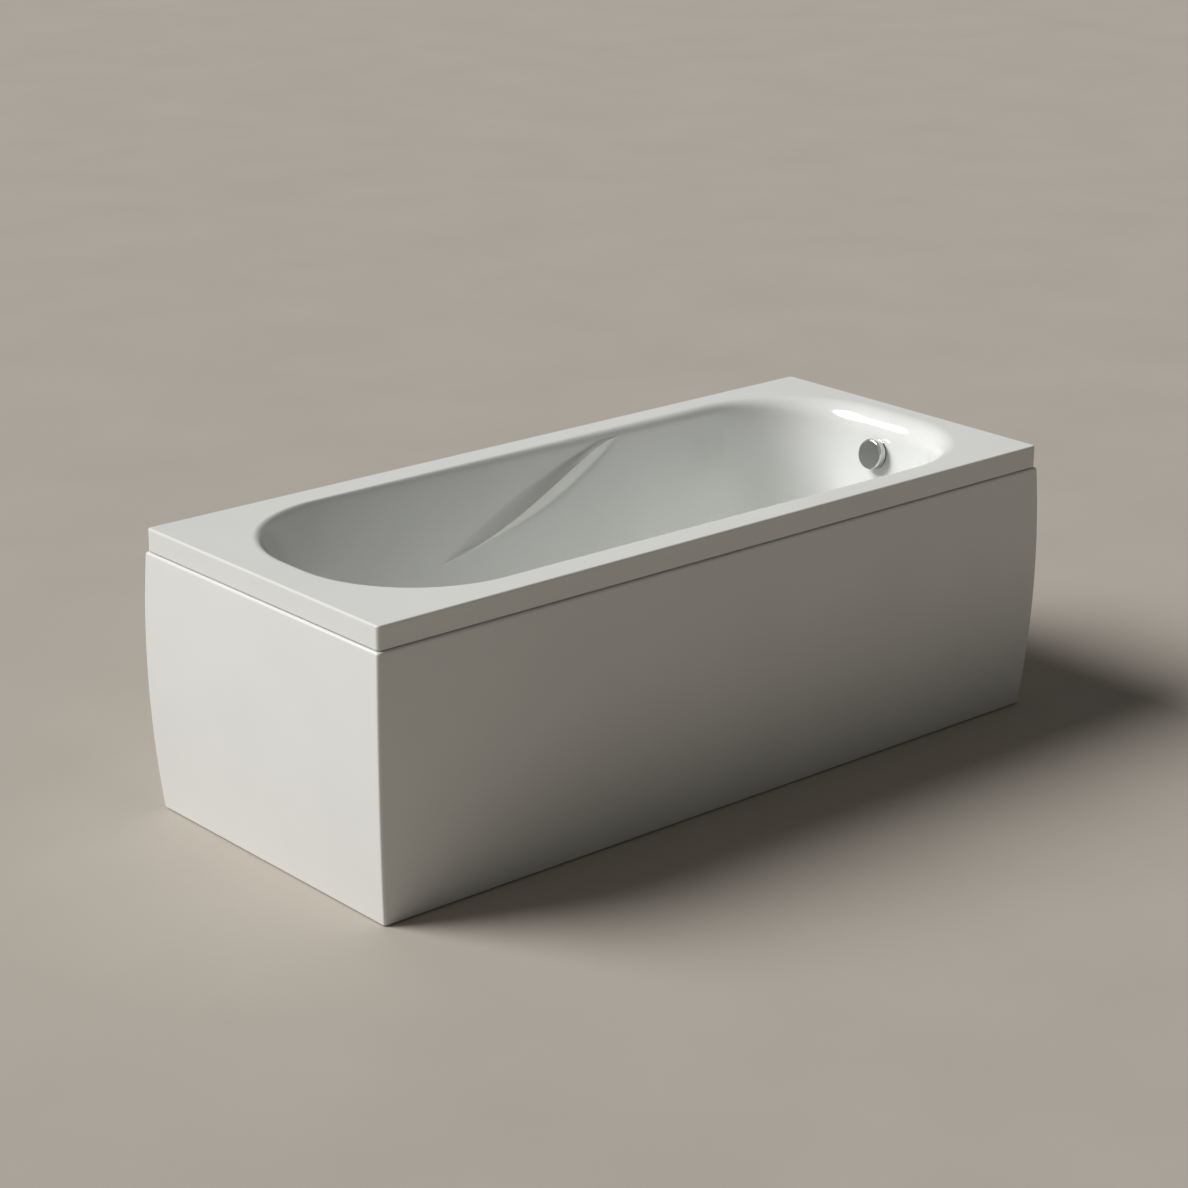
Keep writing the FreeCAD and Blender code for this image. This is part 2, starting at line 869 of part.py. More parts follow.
def make_battens():
    side_reach = half_length - size.batten_side_inset
    end_reach = half_width - size.batten_end_inset
    for side in SIDES:
        label = f"rim_batten_{side}"
        reach = side_reach if side in ("front", "back") else end_reach
        batten = new_body(label)
        plan = sketch_in(batten, f"{label}_plan", "XY_Plane", batten_under)
        draw_rectangle(plan, (-reach, -batten_out - size.batten_width), (reach, -batten_out))
        add_pad(batten, plan, size.batten_thick)
        turn, x, y = SIDES[side]
        batten.Placement = Placement(Vector(), Rotation(Vector(0, 0, 1), turn))
        settle(batten, x, y)
        keep(batten, label)


def make_clips():
    """Spring clips under the battens, each hooked under a panel's top lip, and their screws."""
    wall = size.clip_wall
    lip_edge = size.panel_head_out - size.panel_lip
    web = lip_edge - size.loose_fit
    hook_top = panel_top - size.panel_wall
    batten_in = -batten_out - size.batten_width
    clip = new_body("panel_clip")
    section = sketch_in(clip, "panel_clip_section", "YZ_Plane")
    draw_polygon(
        section,
        [
            (batten_in, batten_under),
            (web, batten_under),
            (web, hook_top),
            (web + size.clip_hook, hook_top),
            (web + size.clip_hook, hook_top - wall),
            (web - wall, hook_top - wall),
            (web - wall, batten_under - wall),
            (batten_in, batten_under - wall),
        ],
    )
    add_pad(clip, section, size.clip_width, symmetric=True)
    screw_out = (batten_in + web) / 2
    hole = sketch_in(clip, "panel_clip_hole", "XY_Plane", batten_under)
    draw_circle(hole, (0, screw_out), size.clip_screw_radius + size.running_fit)
    cut_depth(clip, hole, wall * 2)
    screw = turned(
        "clip_screw",
        [
            (0, batten_under - wall - size.clip_head_height),
            (size.clip_head_radius, batten_under - wall - size.clip_head_height),
            (size.clip_head_radius, batten_under - wall),
            (size.clip_screw_radius, batten_under - wall),
            (size.clip_screw_radius, batten_under - wall + size.clip_screw_length),
            (0, batten_under - wall + size.clip_screw_length),
        ],
    )
    settle(screw, 0, screw_out)
    side_spots = [-size.clip_side_pitch, 0, size.clip_side_pitch]
    end_spots = [-size.clip_end_pitch / 2, size.clip_end_pitch / 2]
    frames = [side_frame(side, spot) for side in ("front", "back") for spot in side_spots]
    frames += [side_frame(side, spot) for side in ("head", "foot") for spot in end_spots]
    group("panel_clips", [(clip, frame) for frame in frames])
    group("clip_screws", [(screw, frame) for frame in frames])


# Board, rails and levelling feet

board_head = -floor_head + size.floor_round + size.board_head_margin
board_foot = waste_x - size.board_waste_gap
board_half = floor_half - size.floor_round - size.board_side_margin
RAILS = {"head": board_head + size.rail_inset, "foot": board_foot - size.rail_inset}
rail_reach = leg_side + size.rail_overhang
stay_bolt_side = rail_reach - size.stay_bolt_setback
stay_bolt_z = rail_under + size.rail_height / 2


def make_base_board():
    low = (board_head, -board_half, board_under)
    high = (board_foot, board_half, floor_under)
    keep(box("base_board", low, high), "base_board")


def make_rail(end, x):
    label = f"leg_rail_{end}"
    half = size.rail_width / 2
    wall = size.rail_wall
    rail = new_body(label)
    section = sketch_in(rail, f"{label}_section", "XZ_Plane")
    draw_polygon(
        section,
        [
            (-half, rail_under),
            (wall - half, rail_under),
            (wall - half, board_under - wall),
            (half - wall, board_under - wall),
            (half - wall, rail_under),
            (half, rail_under),
            (half, board_under),
            (-half, board_under),
        ],
    )
    add_pad(rail, section, rail_reach * 2, symmetric=True)
    holes = sketch_in(rail, f"{label}_holes", "XY_Plane")
    for sign in (-1, 1):
        draw_circle(holes, (0, leg_side * sign), size.stud_radius + size.loose_fit)
        draw_circle(holes, (0, size.rail_screw_pitch / 2 * sign), size.rail_screw_radius + size.running_fit)
    cut_through(rail, holes)
    side_holes = sketch_in(rail, f"{label}_side_holes", "YZ_Plane")
    side_bore = size.stay_bolt_radius + size.running_fit
    for sign in (-1, 1):
        draw_circle(side_holes, (stay_bolt_side * sign, stay_bolt_z), side_bore)
    cut_depth(rail, side_holes, size.rail_width, reversed_way=True)
    settle(rail, x)
    keep(rail, label)


def make_rail_screws():
    top = board_under - size.rail_wall
    head = top - size.rail_screw_head_height
    screw = turned(
        "rail_screw",
        [
            (0, head),
            (size.rail_screw_head_radius, head),
            (size.rail_screw_head_radius, top),
            (size.rail_screw_radius, top),
            (size.rail_screw_radius, top + size.rail_screw_length),
            (0, top + size.rail_screw_length),
        ],
    )
    pitch = float(size.rail_screw_pitch) / 2
    spots = [Vector(float(x), pitch * sign, 0) for x in RAILS.values() for sign in (-1, 1)]
    group("rail_screws", [(screw, Placement(spot, Rotation())) for spot in spots])


def make_legs():
    """Studs that screw through the rails, their pads, and a nut above and below each rail."""
    socket = size.pad_height - size.pad_socket_depth
    stud_top = board_under + size.leg_nut_height + size.stud_spare
    for end, x in RAILS.items():
        for side, sign in (("front", -1), ("back", 1)):
            y = leg_side * sign
            stud = cylinder(f"leg_stud_{end}_{side}", size.stud_radius, socket, stud_top, x, y)
            keep(stud, f"leg_stud_{end}_{side}")
            pad = turned(
                f"leg_pad_{end}_{side}",
                [
                    (0, 0),
                    (size.pad_radius, 0),
                    (size.pad_radius, size.pad_edge),
                    (size.pad_neck_radius, size.pad_height),
                    (size.stud_radius + size.running_fit, size.pad_height),
                    (size.stud_radius + size.running_fit, socket),
                    (0, socket),
                ],
            )
            settle(pad, x, y)
            keep(pad, f"leg_pad_{end}_{side}")
    prism = doc.addObject("Part::Prism", "leg_nut_prism")
    prism.Polygon = 6
    bind(prism, Circumradius=size.leg_nut_radius, Height=size.leg_nut_height)
    bore_top = size.leg_nut_height + size.cut_overrun
    bore = cylinder("leg_nut_bore", size.stud_radius + size.running_fit, -size.cut_overrun, bore_top)
    nut = cut_away("leg_nut", prism, bore)
    seats = [board_under, board_under - size.rail_wall - size.leg_nut_height]
    spots = [
        Vector(float(x), float(leg_side) * sign, float(seat))
        for x in RAILS.values()
        for sign in (-1, 1)
        for seat in seats
    ]
    group("leg_nuts", [(nut, Placement(spot, Rotation())) for spot in spots])


def make_stays():
    """Plates from the rails' sides down to the long panels' bottom lips, with their bolts."""
    lip_top = size.panel_floor_gap + size.panel_wall
    foot_out = half_width - size.panel_foot_inset - size.panel_wall - size.loose_fit
    top = rail_under + size.rail_height
    arm_low = top - size.stay_depth
    arm_in = rail_reach - size.stay_overlap
    leg_in = foot_out - size.panel_lip + size.panel_wall + size.loose_fit
    face = size.rail_width / 2
    stay = new_body("panel_stay")
    outline = sketch_in(stay, "panel_stay_outline", "YZ_Plane", face)
    draw_polygon(
        outline,
        [
            (arm_in, arm_low),
            (leg_in, arm_low),
            (leg_in, lip_top),
            (foot_out, lip_top),
            (foot_out, top),
            (arm_in, top),
        ],
    )
    add_pad(stay, outline, size.stay_wall)
    foot = sketch_in(stay, "panel_stay_foot", "XY_Plane", lip_top)
    draw_rectangle(foot, (face, leg_in), (face + size.stay_foot, foot_out))
    add_pad(stay, foot, size.stay_wall)
    hole = sketch_in(stay, "panel_stay_hole", "YZ_Plane")
    draw_circle(hole, (stay_bolt_side, stay_bolt_z), size.stay_bolt_radius + size.running_fit)
    cut_through(stay, hole)
    shank_end = face - size.rail_wall - size.stay_head_height
    head_seat = face + size.stay_wall
    bolt = turned(
        "stay_bolt",
        [
            (0, shank_end),
            (size.stay_head_radius, shank_end),
            (size.stay_head_radius, face - size.rail_wall),
            (size.stay_bolt_radius, face - size.rail_wall),
            (size.stay_bolt_radius, head_seat),
            (size.stay_head_radius, head_seat),
            (size.stay_head_radius, head_seat + size.stay_head_height),
            (0, head_seat + size.stay_head_height),
        ],
    )
    bolt.Placement = Placement(Vector(), Rotation(Vector(0, 1, 0), float(RIGHT_ANGLE)))
    settle(bolt, 0, stay_bolt_side, stay_bolt_z)
    twins = []
    for name, master in (("panel_stay_twin", stay), ("stay_bolt_twin", bolt)):
        twin = doc.addObject("Part::Mirroring", name)
        twin.Source = master
        twin.Normal = Vector(0, 1, 0)
        twins.append(twin)
    frames = [Placement(Vector(float(x), 0, 0), Rotation()) for x in RAILS.values()]
    group("panel_stays", [(master, frame) for frame in frames for master in (stay, twins[0])])
    group("stay_bolts", [(master, frame) for frame in frames for master in (bolt, twins[1])])


# Outlet, plug and rocker


def make_waste():
    flange_top = seal_top + size.waste_flange_thick
    flange = turned(
        "waste_flange",
        [
            (tail_bore, tail_end),
            (size.waste_tail_radius, tail_end),
            (size.waste_tail_radius, seal_top),
            (size.waste_flange_radius, seal_top),
            (size.waste_flange_radius, seal_top + size.waste_flange_thick / 2),
            (size.waste_tail_radius, flange_top),
            (tail_bore, seal_top),
        ],
    )
    spider = sketch_in(flange, "waste_spider", "XY_Plane", tail_end)
    bar_reach = tail_bore + size.waste_tail_wall / 2
    draw_rectangle(spider, (-bar_reach, -size.spider_bar / 2), (bar_reach, size.spider_bar / 2))
    add_pad(flange, spider, size.spider_thick)
    hub = sketch_in(flange, "waste_hub", "XY_Plane", tail_end)
    draw_circle(hub, (0, 0), size.spider_hub_radius)
    add_pad(flange, hub, size.spider_thick)
    guide = sketch_in(flange, "waste_guide", "XY_Plane")
    draw_circle(guide, (0, 0), size.stem_radius + size.running_fit)
    cut_through(flange, guide)
    settle(flange, waste_x)
    keep(flange, "waste_flange")
    seal_bore = size.waste_tail_radius + size.loose_fit
    seal_edge = size.waste_flange_radius - size.waste_seal_thick
    upper = turned_ring("waste_seal_upper", seal_bore, seal_edge, size.floor_height, seal_top)
    lower = turned_ring("waste_seal_lower", seal_bore, size.lower_seal_radius, cup_top, floor_under)
    for seal in (upper, lower):
        settle(seal, waste_x)
        keep(seal, seal.Name)


def make_waste_body():
    """The cup under the floor, with its tail, the overflow's socket and the cable's boss."""
    cup_bore = size.waste_tail_radius + size.running_fit
    tail_inner = size.drain_radius - size.drain_wall
    cup = new_body("waste_body")
    turn_section(
        cup,
        "waste_cup",
        [
            (0, tail_under),
            (size.drain_radius, tail_under),
            (size.drain_radius, cup_under),
            (size.cup_radius, cup_under),
            (size.cup_radius, cup_top - size.cup_flange_thick),
            (size.cup_flange_radius, cup_top - size.cup_flange_thick),
            (size.cup_flange_radius, cup_top),
            (0, cup_top),
        ],
    )
    socket = sketch_in(cup, "waste_socket", "YZ_Plane")
    draw_circle(socket, (size.pipe_side, pipe_z), socket_radius)
    add_pad(cup, socket, size.socket_reach)
    boss = sketch_in(cup, "waste_boss", "YZ_Plane")
    draw_circle(boss, (size.cable_side, pipe_z), size.cable_boss_radius)
    add_pad(cup, boss, size.cable_boss_reach)
    turn_section(
        cup,
        "waste_hollow",
        [
            (0, tail_under - size.cut_overrun),
            (tail_inner, tail_under - size.cut_overrun),
            (tail_inner, cup_under + size.cup_floor),
            (cup_bore, cup_under + size.cup_floor),
            (cup_bore, cup_top + size.cut_overrun),
            (0, cup_top + size.cut_overrun),
        ],
        "PartDesign::Groove",
    )
    bores = sketch_in(cup, "waste_bores", "YZ_Plane")
    draw_circle(bores, (size.pipe_side, pipe_z), socket_bore)
    draw_circle(bores, (size.cable_side, pipe_z), cable_bore)
    cut_depth(cup, bores, size.socket_reach + size.cut_overrun, reversed_way=True)
    pin_hole = sketch_in(cup, "waste_pin_hole", "XZ_Plane")
    draw_circle(pin_hole, (-size.pivot_offset, pivot_z), size.pin_radius + size.running_fit)
    cut_through(cup, pin_hole)
    settle(cup, waste_x)
    keep(cup, "waste_body")


def make_plug():
    """The plug at rest on the flange: a domed cap over a seal, on a stem that the spider guides."""
    rest = seal_top + size.waste_flange_thick + size.loose_fit
    cap_under = rest - size.plug_seat_depth
    cap = turned(
        "plug_cap",
        [
            (0, cap_under),
            (size.plug_seat_radius, cap_under),
            (size.plug_seat_radius, rest),
            (size.plug_radius, rest),
            (size.plug_radius, rest + size.plug_edge),
            (size.plug_crown_radius, rest + size.plug_rise),
            (0, rest + size.plug_rise),
        ],
    )
    socket = sketch_in(cap, "plug_socket", "XY_Plane", cap_under)
    draw_circle(socket, (0, 0), size.stem_radius + size.running_fit)
    cut_depth(cap, socket, size.stem_socket, reversed_way=True)
    seal_low = rest - size.plug_seal_thick
    seal = turned_ring("plug_seal", size.plug_seat_radius, size.plug_seal_radius, seal_low, rest)
    tip = pivot_z + size.rocker_arm_half_thick + size.loose_fit
    stem = new_body("plug_stem")
    stem_top = cap_under + size.stem_socket
    turn_section(
        stem,
        "plug_stem",
        [
            (0, tip),
            (size.stem_radius / 2, tip),
            (size.stem_radius, tip + size.stem_radius),
            (size.stem_radius, stem_top),
            (0, stem_top),
        ],
    )
    for piece in (cap, seal, stem):
        settle(piece, waste_x)
        keep(piece, piece.Name)


def make_rocker():
    half_thick = size.rocker_arm_half_thick
    rocker = new_body("rocker_arm")
    hub = sketch_in(rocker, "rocker_hub", "XZ_Plane")
    draw_circle(hub, (0, 0), size.rocker_hub_radius)
    add_pad(rocker, hub, size.rocker_half_width * 2, symmetric=True)
    arm = sketch_in(rocker, "rocker_bar", "XZ_Plane")
    draw_rectangle(arm, (0, -half_thick), (size.rocker_arm_length, half_thick))
    add_pad(rocker, arm, size.rocker_half_width * 2, symmetric=True)
    bore = sketch_in(rocker, "rocker_bore", "XZ_Plane")
    draw_circle(bore, (0, 0), size.pin_radius + size.running_fit)
    cut_through(rocker, bore)
    settle(rocker, pivot_x, 0, pivot_z)
    keep(rocker, "rocker_arm")
    pin = doc.addObject("Part::Cylinder", "rocker_pin")
    bind(pin, Radius=size.pin_radius, Height=size.pin_half_length * 2)
    pin.Placement = Placement(Vector(), Rotation(Vector(1, 0, 0), float(RIGHT_ANGLE)))
    settle(pin, pivot_x, size.pin_half_length, pivot_z)
    keep(pin, "rocker_pin")


# Trap and drain


def trap_spot(side, height):
    return Vector(float(waste_x), float(side), float(height))


def make_trap():
    inner = size.drain_radius - size.drain_wall
    bend = size.drain_bend
    bend_corners = [
        trap_spot(0, trap_top),
        trap_spot(0, trap_low),
        trap_spot(trap_side, trap_low),
        trap_spot(trap_side, trap_outlet_z),
        trap_spot(trap_end, trap_outlet_z),
    ]
    pipe("trap_bend", bend_corners, bend, size.drain_radius, inner)
    elbow_corners = [
        trap_spot(elbow_start, trap_outlet_z),
        trap_spot(spigot_side, trap_outlet_z),
        trap_spot(spigot_side, size.spigot_clearance),
    ]
    pipe("drain_elbow", elbow_corners, bend, size.drain_radius, inner)
    washer = turned_ring("drain_washer", inner, size.drain_radius, 0, size.washer_thick)
    upright = Placement(trap_spot(0, trap_top), Rotation())
    sideways = Rotation(Vector(1, 0, 0), -float(RIGHT_ANGLE))
    outward = Placement(trap_spot(trap_end, trap_outlet_z), sideways)
    group("trap_washers", [(washer, upright), (washer, outward)])
    nut_bore = size.drain_radius + size.running_fit
    half = size.drain_nut_height / 2
    trap_nut = turned_ring("trap_nut", nut_bore, size.drain_nut_radius, -half, half)
    settle(trap_nut, waste_x, 0, trap_top)
    keep(trap_nut, "trap_nut")
    elbow_nut = turned_ring("elbow_nut", nut_bore, size.drain_nut_radius, -half, half)
    elbow_nut.Placement = Placement(Vector(), sideways)
    settle(elbow_nut, waste_x, trap_end, trap_outlet_z)
    keep(elbow_nut, "elbow_nut")


# Overflow, knob and cable


def make_overflow_ring():
    bore = size.ring_sleeve_radius - size.ring_sleeve_wall
    ring = turned(
        "overflow_ring",
        [
            (bore, -size.ring_sleeve_length),
            (size.ring_sleeve_radius, -size.ring_sleeve_length),
            (size.ring_sleeve_radius, 0),
            (size.ring_radius, 0),
            (size.ring_radius, size.ring_thick),
            (bore, size.ring_thick),
        ],
    )
    bar = sketch_in(ring, "ring_spider", "XY_Plane", -size.ring_sleeve_length)
    bar_reach = bore + size.ring_sleeve_wall / 2
    draw_rectangle(bar, (-bar_reach, -size.spider_bar / 2), (bar_reach, size.spider_bar / 2))
    add_pad(ring, bar, size.spider_thick)
    hub = sketch_in(ring, "ring_hub", "XY_Plane", -size.ring_sleeve_length)
    draw_circle(hub, (0, 0), size.spindle_radius * 2)
    add_pad(ring, hub, size.spider_thick * 2)
    guide = sketch_in(ring, "ring_guide", "XY_Plane")
    draw_circle(guide, (0, 0), size.spindle_radius + size.running_fit)
    cut_through(ring, guide)
    settle_on_foot_wall(ring)
    keep(ring, "overflow_ring")


def make_knob():
    """The knob's cap, its spindle through the wall and the crank that pulls the cable."""
    back = size.ring_thick + size.knob_gap
    face_under = size.knob_reach - size.knob_wall
    inner = size.knob_radius - size.knob_wall
    socket_end = back + size.knob_socket
    knob = turned(
        "overflow_knob",
        [
            (0, size.knob_reach),
            (size.knob_radius, size.knob_reach),
            (size.knob_radius, back),
            (inner, back),
            (inner, face_under),
            (size.knob_hub_radius, face_under),
            (size.knob_hub_radius, back),
            (size.spindle_radius + size.running_fit, back),
            (size.spindle_radius + size.running_fit, socket_end),
            (0, socket_end),
        ],
    )
    crest = float(size.knob_reach) - NEAR
    doc.recompute()
    round_body_edges(knob, "overflow_knob_edge", size.knob_edge_round, lambda edge: edge.ZMin > crest)
    settle_on_foot_wall(knob)
    keep(knob, "overflow_knob")
    crank_low = chamber_back + size.chamber_wall + size.crank_back_gap
    spindle = turned_ring("knob_spindle", as_size(0), size.spindle_radius, crank_low, socket_end)
    settle_on_foot_wall(spindle)
    keep(spindle, "knob_spindle")
    crank = new_body("cable_crank")
    hub = sketch_in(crank, "crank_hub", "XY_Plane", crank_low)
    draw_circle(hub, (0, 0), size.crank_hub_radius)
    add_pad(crank, hub, size.crank_thick)
    arm = sketch_in(crank, "crank_bar", "XY_Plane", crank_low)
    draw_rectangle(arm, (-size.crank_reach, -size.crank_end_radius), (0, size.crank_end_radius))
    add_pad(crank, arm, size.crank_thick)
    end = sketch_in(crank, "crank_end", "XY_Plane", crank_low)
    draw_circle(end, (-size.crank_reach, 0), size.crank_end_radius)
    add_pad(crank, end, size.crank_thick)
    bore = sketch_in(crank, "crank_bore", "XY_Plane")
    draw_circle(bore, (0, 0), size.spindle_radius + size.running_fit)
    cut_through(crank, bore)
    settle_on_foot_wall(crank)
    keep(crank, "cable_crank")


def make_overflow_body():
    """The chamber behind the foot wall, with a socket and a cable boss that point down along the wall."""
    flange_back = chamber_front - size.chamber_flange_thick
    thread = size.ring_sleeve_radius + size.running_fit
    chamber = new_body("overflow_body")
    turn_section(
        chamber,
        "chamber",
        [
            (0, chamber_back),
            (size.chamber_radius, chamber_back),
            (size.chamber_radius, flange_back),
            (size.chamber_flange_radius, flange_back),
            (size.chamber_flange_radius, chamber_front),
            (0, chamber_front),
        ],
    )
    outlet = sketch_in(chamber, "chamber_outlet", "YZ_Plane")
    draw_circle(outlet, (size.pipe_side, outlet_axis), socket_radius)
    add_pad(chamber, outlet, size.outlet_reach, reversed_way=True)
    boss = sketch_in(chamber, "chamber_boss", "YZ_Plane")
    draw_circle(boss, (size.cable_side, outlet_axis), size.cable_boss_radius)
    add_pad(chamber, boss, size.cable_boss_reach, reversed_way=True)
    turn_section(
        chamber,
        "chamber_hollow",
        [
            (0, chamber_back + size.chamber_wall),
            (size.chamber_radius - size.chamber_wall, chamber_back + size.chamber_wall),
            (size.chamber_radius - size.chamber_wall, -size.ring_sleeve_length),
            (thread, -size.ring_sleeve_length),
            (thread, chamber_front + size.cut_overrun),
            (0, chamber_front + size.cut_overrun),
        ],
        "PartDesign::Groove",
    )
    bores = sketch_in(chamber, "chamber_bores", "YZ_Plane")
    draw_circle(bores, (size.pipe_side, outlet_axis), socket_bore)
    draw_circle(bores, (size.cable_side, outlet_axis), cable_bore)
    cut_depth(chamber, bores, size.outlet_reach + size.cut_overrun)
    settle_on_foot_wall(chamber)
    keep(chamber, "overflow_body")
    seal = turned_ring(
        "overflow_seal", thread + size.loose_fit, size.overflow_seal_radius, chamber_front, foot_wall_back
    )
    settle_on_foot_wall(seal)
    keep(seal, "overflow_seal")


def run_down(side, top_reach, end_x):
    """Corners of a run from the chamber, down along the foot wall and under the floor to the cup."""
    frame = foot_wall_frame()
    start = frame.multVec(Vector(-float(top_reach), float(side), float(outlet_axis)))
    down = frame.Rotation.multVec(Vector(-1, 0, 0))
    drop = (start.z - float(pipe_z)) / -down.z
    return [start, start + down * drop, Vector(float(end_x), float(side), float(pipe_z))]


def make_overflow_lines():
    """The overflow pipe and the cable, with the nuts and glands at both ends of each."""
    socket_end = waste_x + size.socket_reach
    boss_end = waste_x + size.cable_boss_reach
    socket_depth = size.socket_depth
    pipe_corners = run_down(size.pipe_side, size.outlet_reach - socket_depth, socket_end - socket_depth)
    pipe("overflow_pipe", pipe_corners, size.pipe_bend, size.pipe_radius, size.pipe_radius - size.pipe_wall)
    grip = size.cable_grip
    cable_corners = run_down(size.cable_side, size.cable_boss_reach - grip, boss_end - grip)
    pipe("bowden_cable", cable_corners, size.pipe_bend, size.cable_radius)
    nut = turned_ring(
        "pipe_nut",
        socket_radius + size.running_fit,
        socket_radius + size.pipe_nut_wall,
        -size.pipe_nut_height,
        0,
    )
    gland = turned_ring("cable_gland", cable_bore, size.gland_radius, 0, size.gland_length)
    upper = foot_wall_frame()
    downward = Rotation(Vector(0, 1, 0), -float(RIGHT_ANGLE))
    headward = Rotation(Vector(0, 1, 0), float(RIGHT_ANGLE))

    def both_ends(side, top_reach, end_x):
        top = Vector(-float(top_reach), float(side), float(outlet_axis))
        low = Vector(float(end_x), float(side), float(pipe_z))
        return [upper.multiply(Placement(top, downward)), Placement(low, headward)]

    nut_frames = both_ends(size.pipe_side, size.outlet_reach, socket_end)
    group("pipe_nuts", [(nut, frame) for frame in nut_frames])
    gland_frames = both_ends(size.cable_side, size.cable_boss_reach, boss_end)
    group("cable_glands", [(gland, frame) for frame in gland_frames])


def write_pieces():
    doc.recompute()
    for thing in doc.Objects:
        if {"Invalid", "Error"} & set(thing.State):
            raise RuntimeError(f"{thing.Name} failed: {thing.State}")
    for piece in pieces:
        if piece.Shape.isNull() or not piece.Shape.isValid():
            raise RuntimeError(f"{piece.Label} has no sound shape")
    os.makedirs("parts", exist_ok=True)
    for piece in pieces:
        piece.Shape.exportStep(os.path.join("parts", f"{piece.Label}.step"))
    print(f"{len(pieces)} sub-parts written")


make_tub_shell()
for panel_side in SIDES:
    make_panel(panel_side, half_length if panel_side in ("front", "back") else half_width)
make_corner_brackets()
make_battens()
make_clips()
make_base_board()
for rail_end, rail_x in RAILS.items():
    make_rail(rail_end, rail_x)
make_rail_screws()
make_legs()
make_stays()
make_waste()
make_waste_body()
make_plug()
make_rocker()
make_trap()
make_overflow_ring()
make_knob()
make_overflow_body()
make_overflow_lines()
write_pieces()
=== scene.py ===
import json
import math

import bmesh
import bpy
from mathutils import Matrix, Vector


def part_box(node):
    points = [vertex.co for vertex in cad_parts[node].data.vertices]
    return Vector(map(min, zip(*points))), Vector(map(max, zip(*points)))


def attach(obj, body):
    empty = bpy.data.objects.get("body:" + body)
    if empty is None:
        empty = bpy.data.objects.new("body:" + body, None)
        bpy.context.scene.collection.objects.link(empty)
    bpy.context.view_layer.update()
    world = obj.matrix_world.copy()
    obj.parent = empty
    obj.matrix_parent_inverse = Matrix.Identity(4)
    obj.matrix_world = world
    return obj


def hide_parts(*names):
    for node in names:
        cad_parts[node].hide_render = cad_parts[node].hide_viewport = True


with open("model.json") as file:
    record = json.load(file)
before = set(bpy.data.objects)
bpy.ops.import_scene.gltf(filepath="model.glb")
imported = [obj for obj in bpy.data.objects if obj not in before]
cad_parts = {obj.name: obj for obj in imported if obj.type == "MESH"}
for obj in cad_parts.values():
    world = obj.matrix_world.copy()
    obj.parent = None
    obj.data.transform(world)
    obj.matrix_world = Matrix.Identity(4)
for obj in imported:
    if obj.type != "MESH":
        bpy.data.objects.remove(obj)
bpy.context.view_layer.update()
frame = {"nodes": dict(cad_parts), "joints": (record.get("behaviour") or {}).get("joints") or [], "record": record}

MM = 0.001
NODES = frame["nodes"]
KNOB_TURN = next(joint for joint in frame["joints"] if joint["name"] == "knob_turn")

# The rim, the outlet and the panels keep the frame's places
RIM_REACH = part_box("tub_shell")[1]
HALF_LENGTH = RIM_REACH.x
HALF_WIDTH = RIM_REACH.y
RIM_TOP = RIM_REACH.z
PANEL_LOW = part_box("front_panel")[0].z
PANEL_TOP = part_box("front_panel")[1].z
PLUG_LOW, PLUG_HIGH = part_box("plug_cap")
OUTLET = (PLUG_LOW + PLUG_HIGH) / 2

# Acrylic shell
SHELL_WALL = 5 * MM
SKIRT = 44 * MM
RIM_CORNER = 8 * MM
RIM_EDGE = 4 * MM
RIM_HOLD = 2 * MM
HEAD_RIM = 82 * MM
FOOT_RIM = 78 * MM
SIDE_RIM = 65 * MM
BASIN_DEPTH = 410 * MM
HEAD_SLOPE = 270 * MM
FOOT_SLOPE = 72 * MM
SIDE_SLOPE = 84 * MM
MOUTH_HALF = HALF_WIDTH - SIDE_RIM
FLOOR_HALF = MOUTH_HALF - SIDE_SLOPE
MOUTH_CORNER_SHARES = (0.885, 0.78)
FLOOR_CORNER_SHARES = (0.845, 0.745)
FLOOR_ROUND = 60 * MM
SIDE_ROLL = 22 * MM
HEAD_ROLL = 22 * MM
FOOT_ROLL = 50 * MM
OUTLET_HOLE = 26 * MM
OVERFLOW_HOLE = 25 * MM

# Rings of the flat floor, as shares of the way out from the outlet's hole
OUTLET_SHARES = (0.5, 0.2, 0)

# Steps round the shell's loops, from the front foot corner: a corner, then the side after it, four times
CORNER_STEPS = 28
FOOT_STEPS = 24
SIDE_STEPS = 140
HEAD_STEPS = 10
LOOP_STEPS = (
    CORNER_STEPS,
    FOOT_STEPS,
    CORNER_STEPS,
    SIDE_STEPS,
    CORNER_STEPS,
    HEAD_STEPS,
    CORNER_STEPS,
    SIDE_STEPS,
)
SIDE_PARTS = (3, 7)
ROUND_STEPS = 9

# Rows down the basin's wall, and the ones that follow the fold's lines
WALL_STEPS = 56
BROW_ROW = 10
CREST_ROW = 24
CREASE_ROW = 36
HOLD_ROW = 38

# The leaf-shaped fold in both side walls, from tail to tip, as distances along X and down from the rim
LEAF_TAIL = Vector((-225 * MM, 181 * MM))
LEAF_TIP = Vector((265 * MM, 14 * MM))
LEAF_BROW = -28 * MM
LEAF_CREASE = 31 * MM
BROW_FULLNESS = 0.5
CREASE_LEAN = 1.2
CREST_SHARE = 0.8
LEAF_HEIGHT = 19 * MM
HEIGHT_FULLNESS = 0.8
LEAF_RISE = 2.2
LEAF_FALL = 1.5
FLANK_LEAST = 3 * MM
CREASE_DEPTH = 2 * MM
CREASE_WIDTH = 5 * MM
LEAF_START = 26 * MM
ROW_GAP = 4 * MM
ROW_BLEND = 190 * MM
ROW_ROUNDS = 20

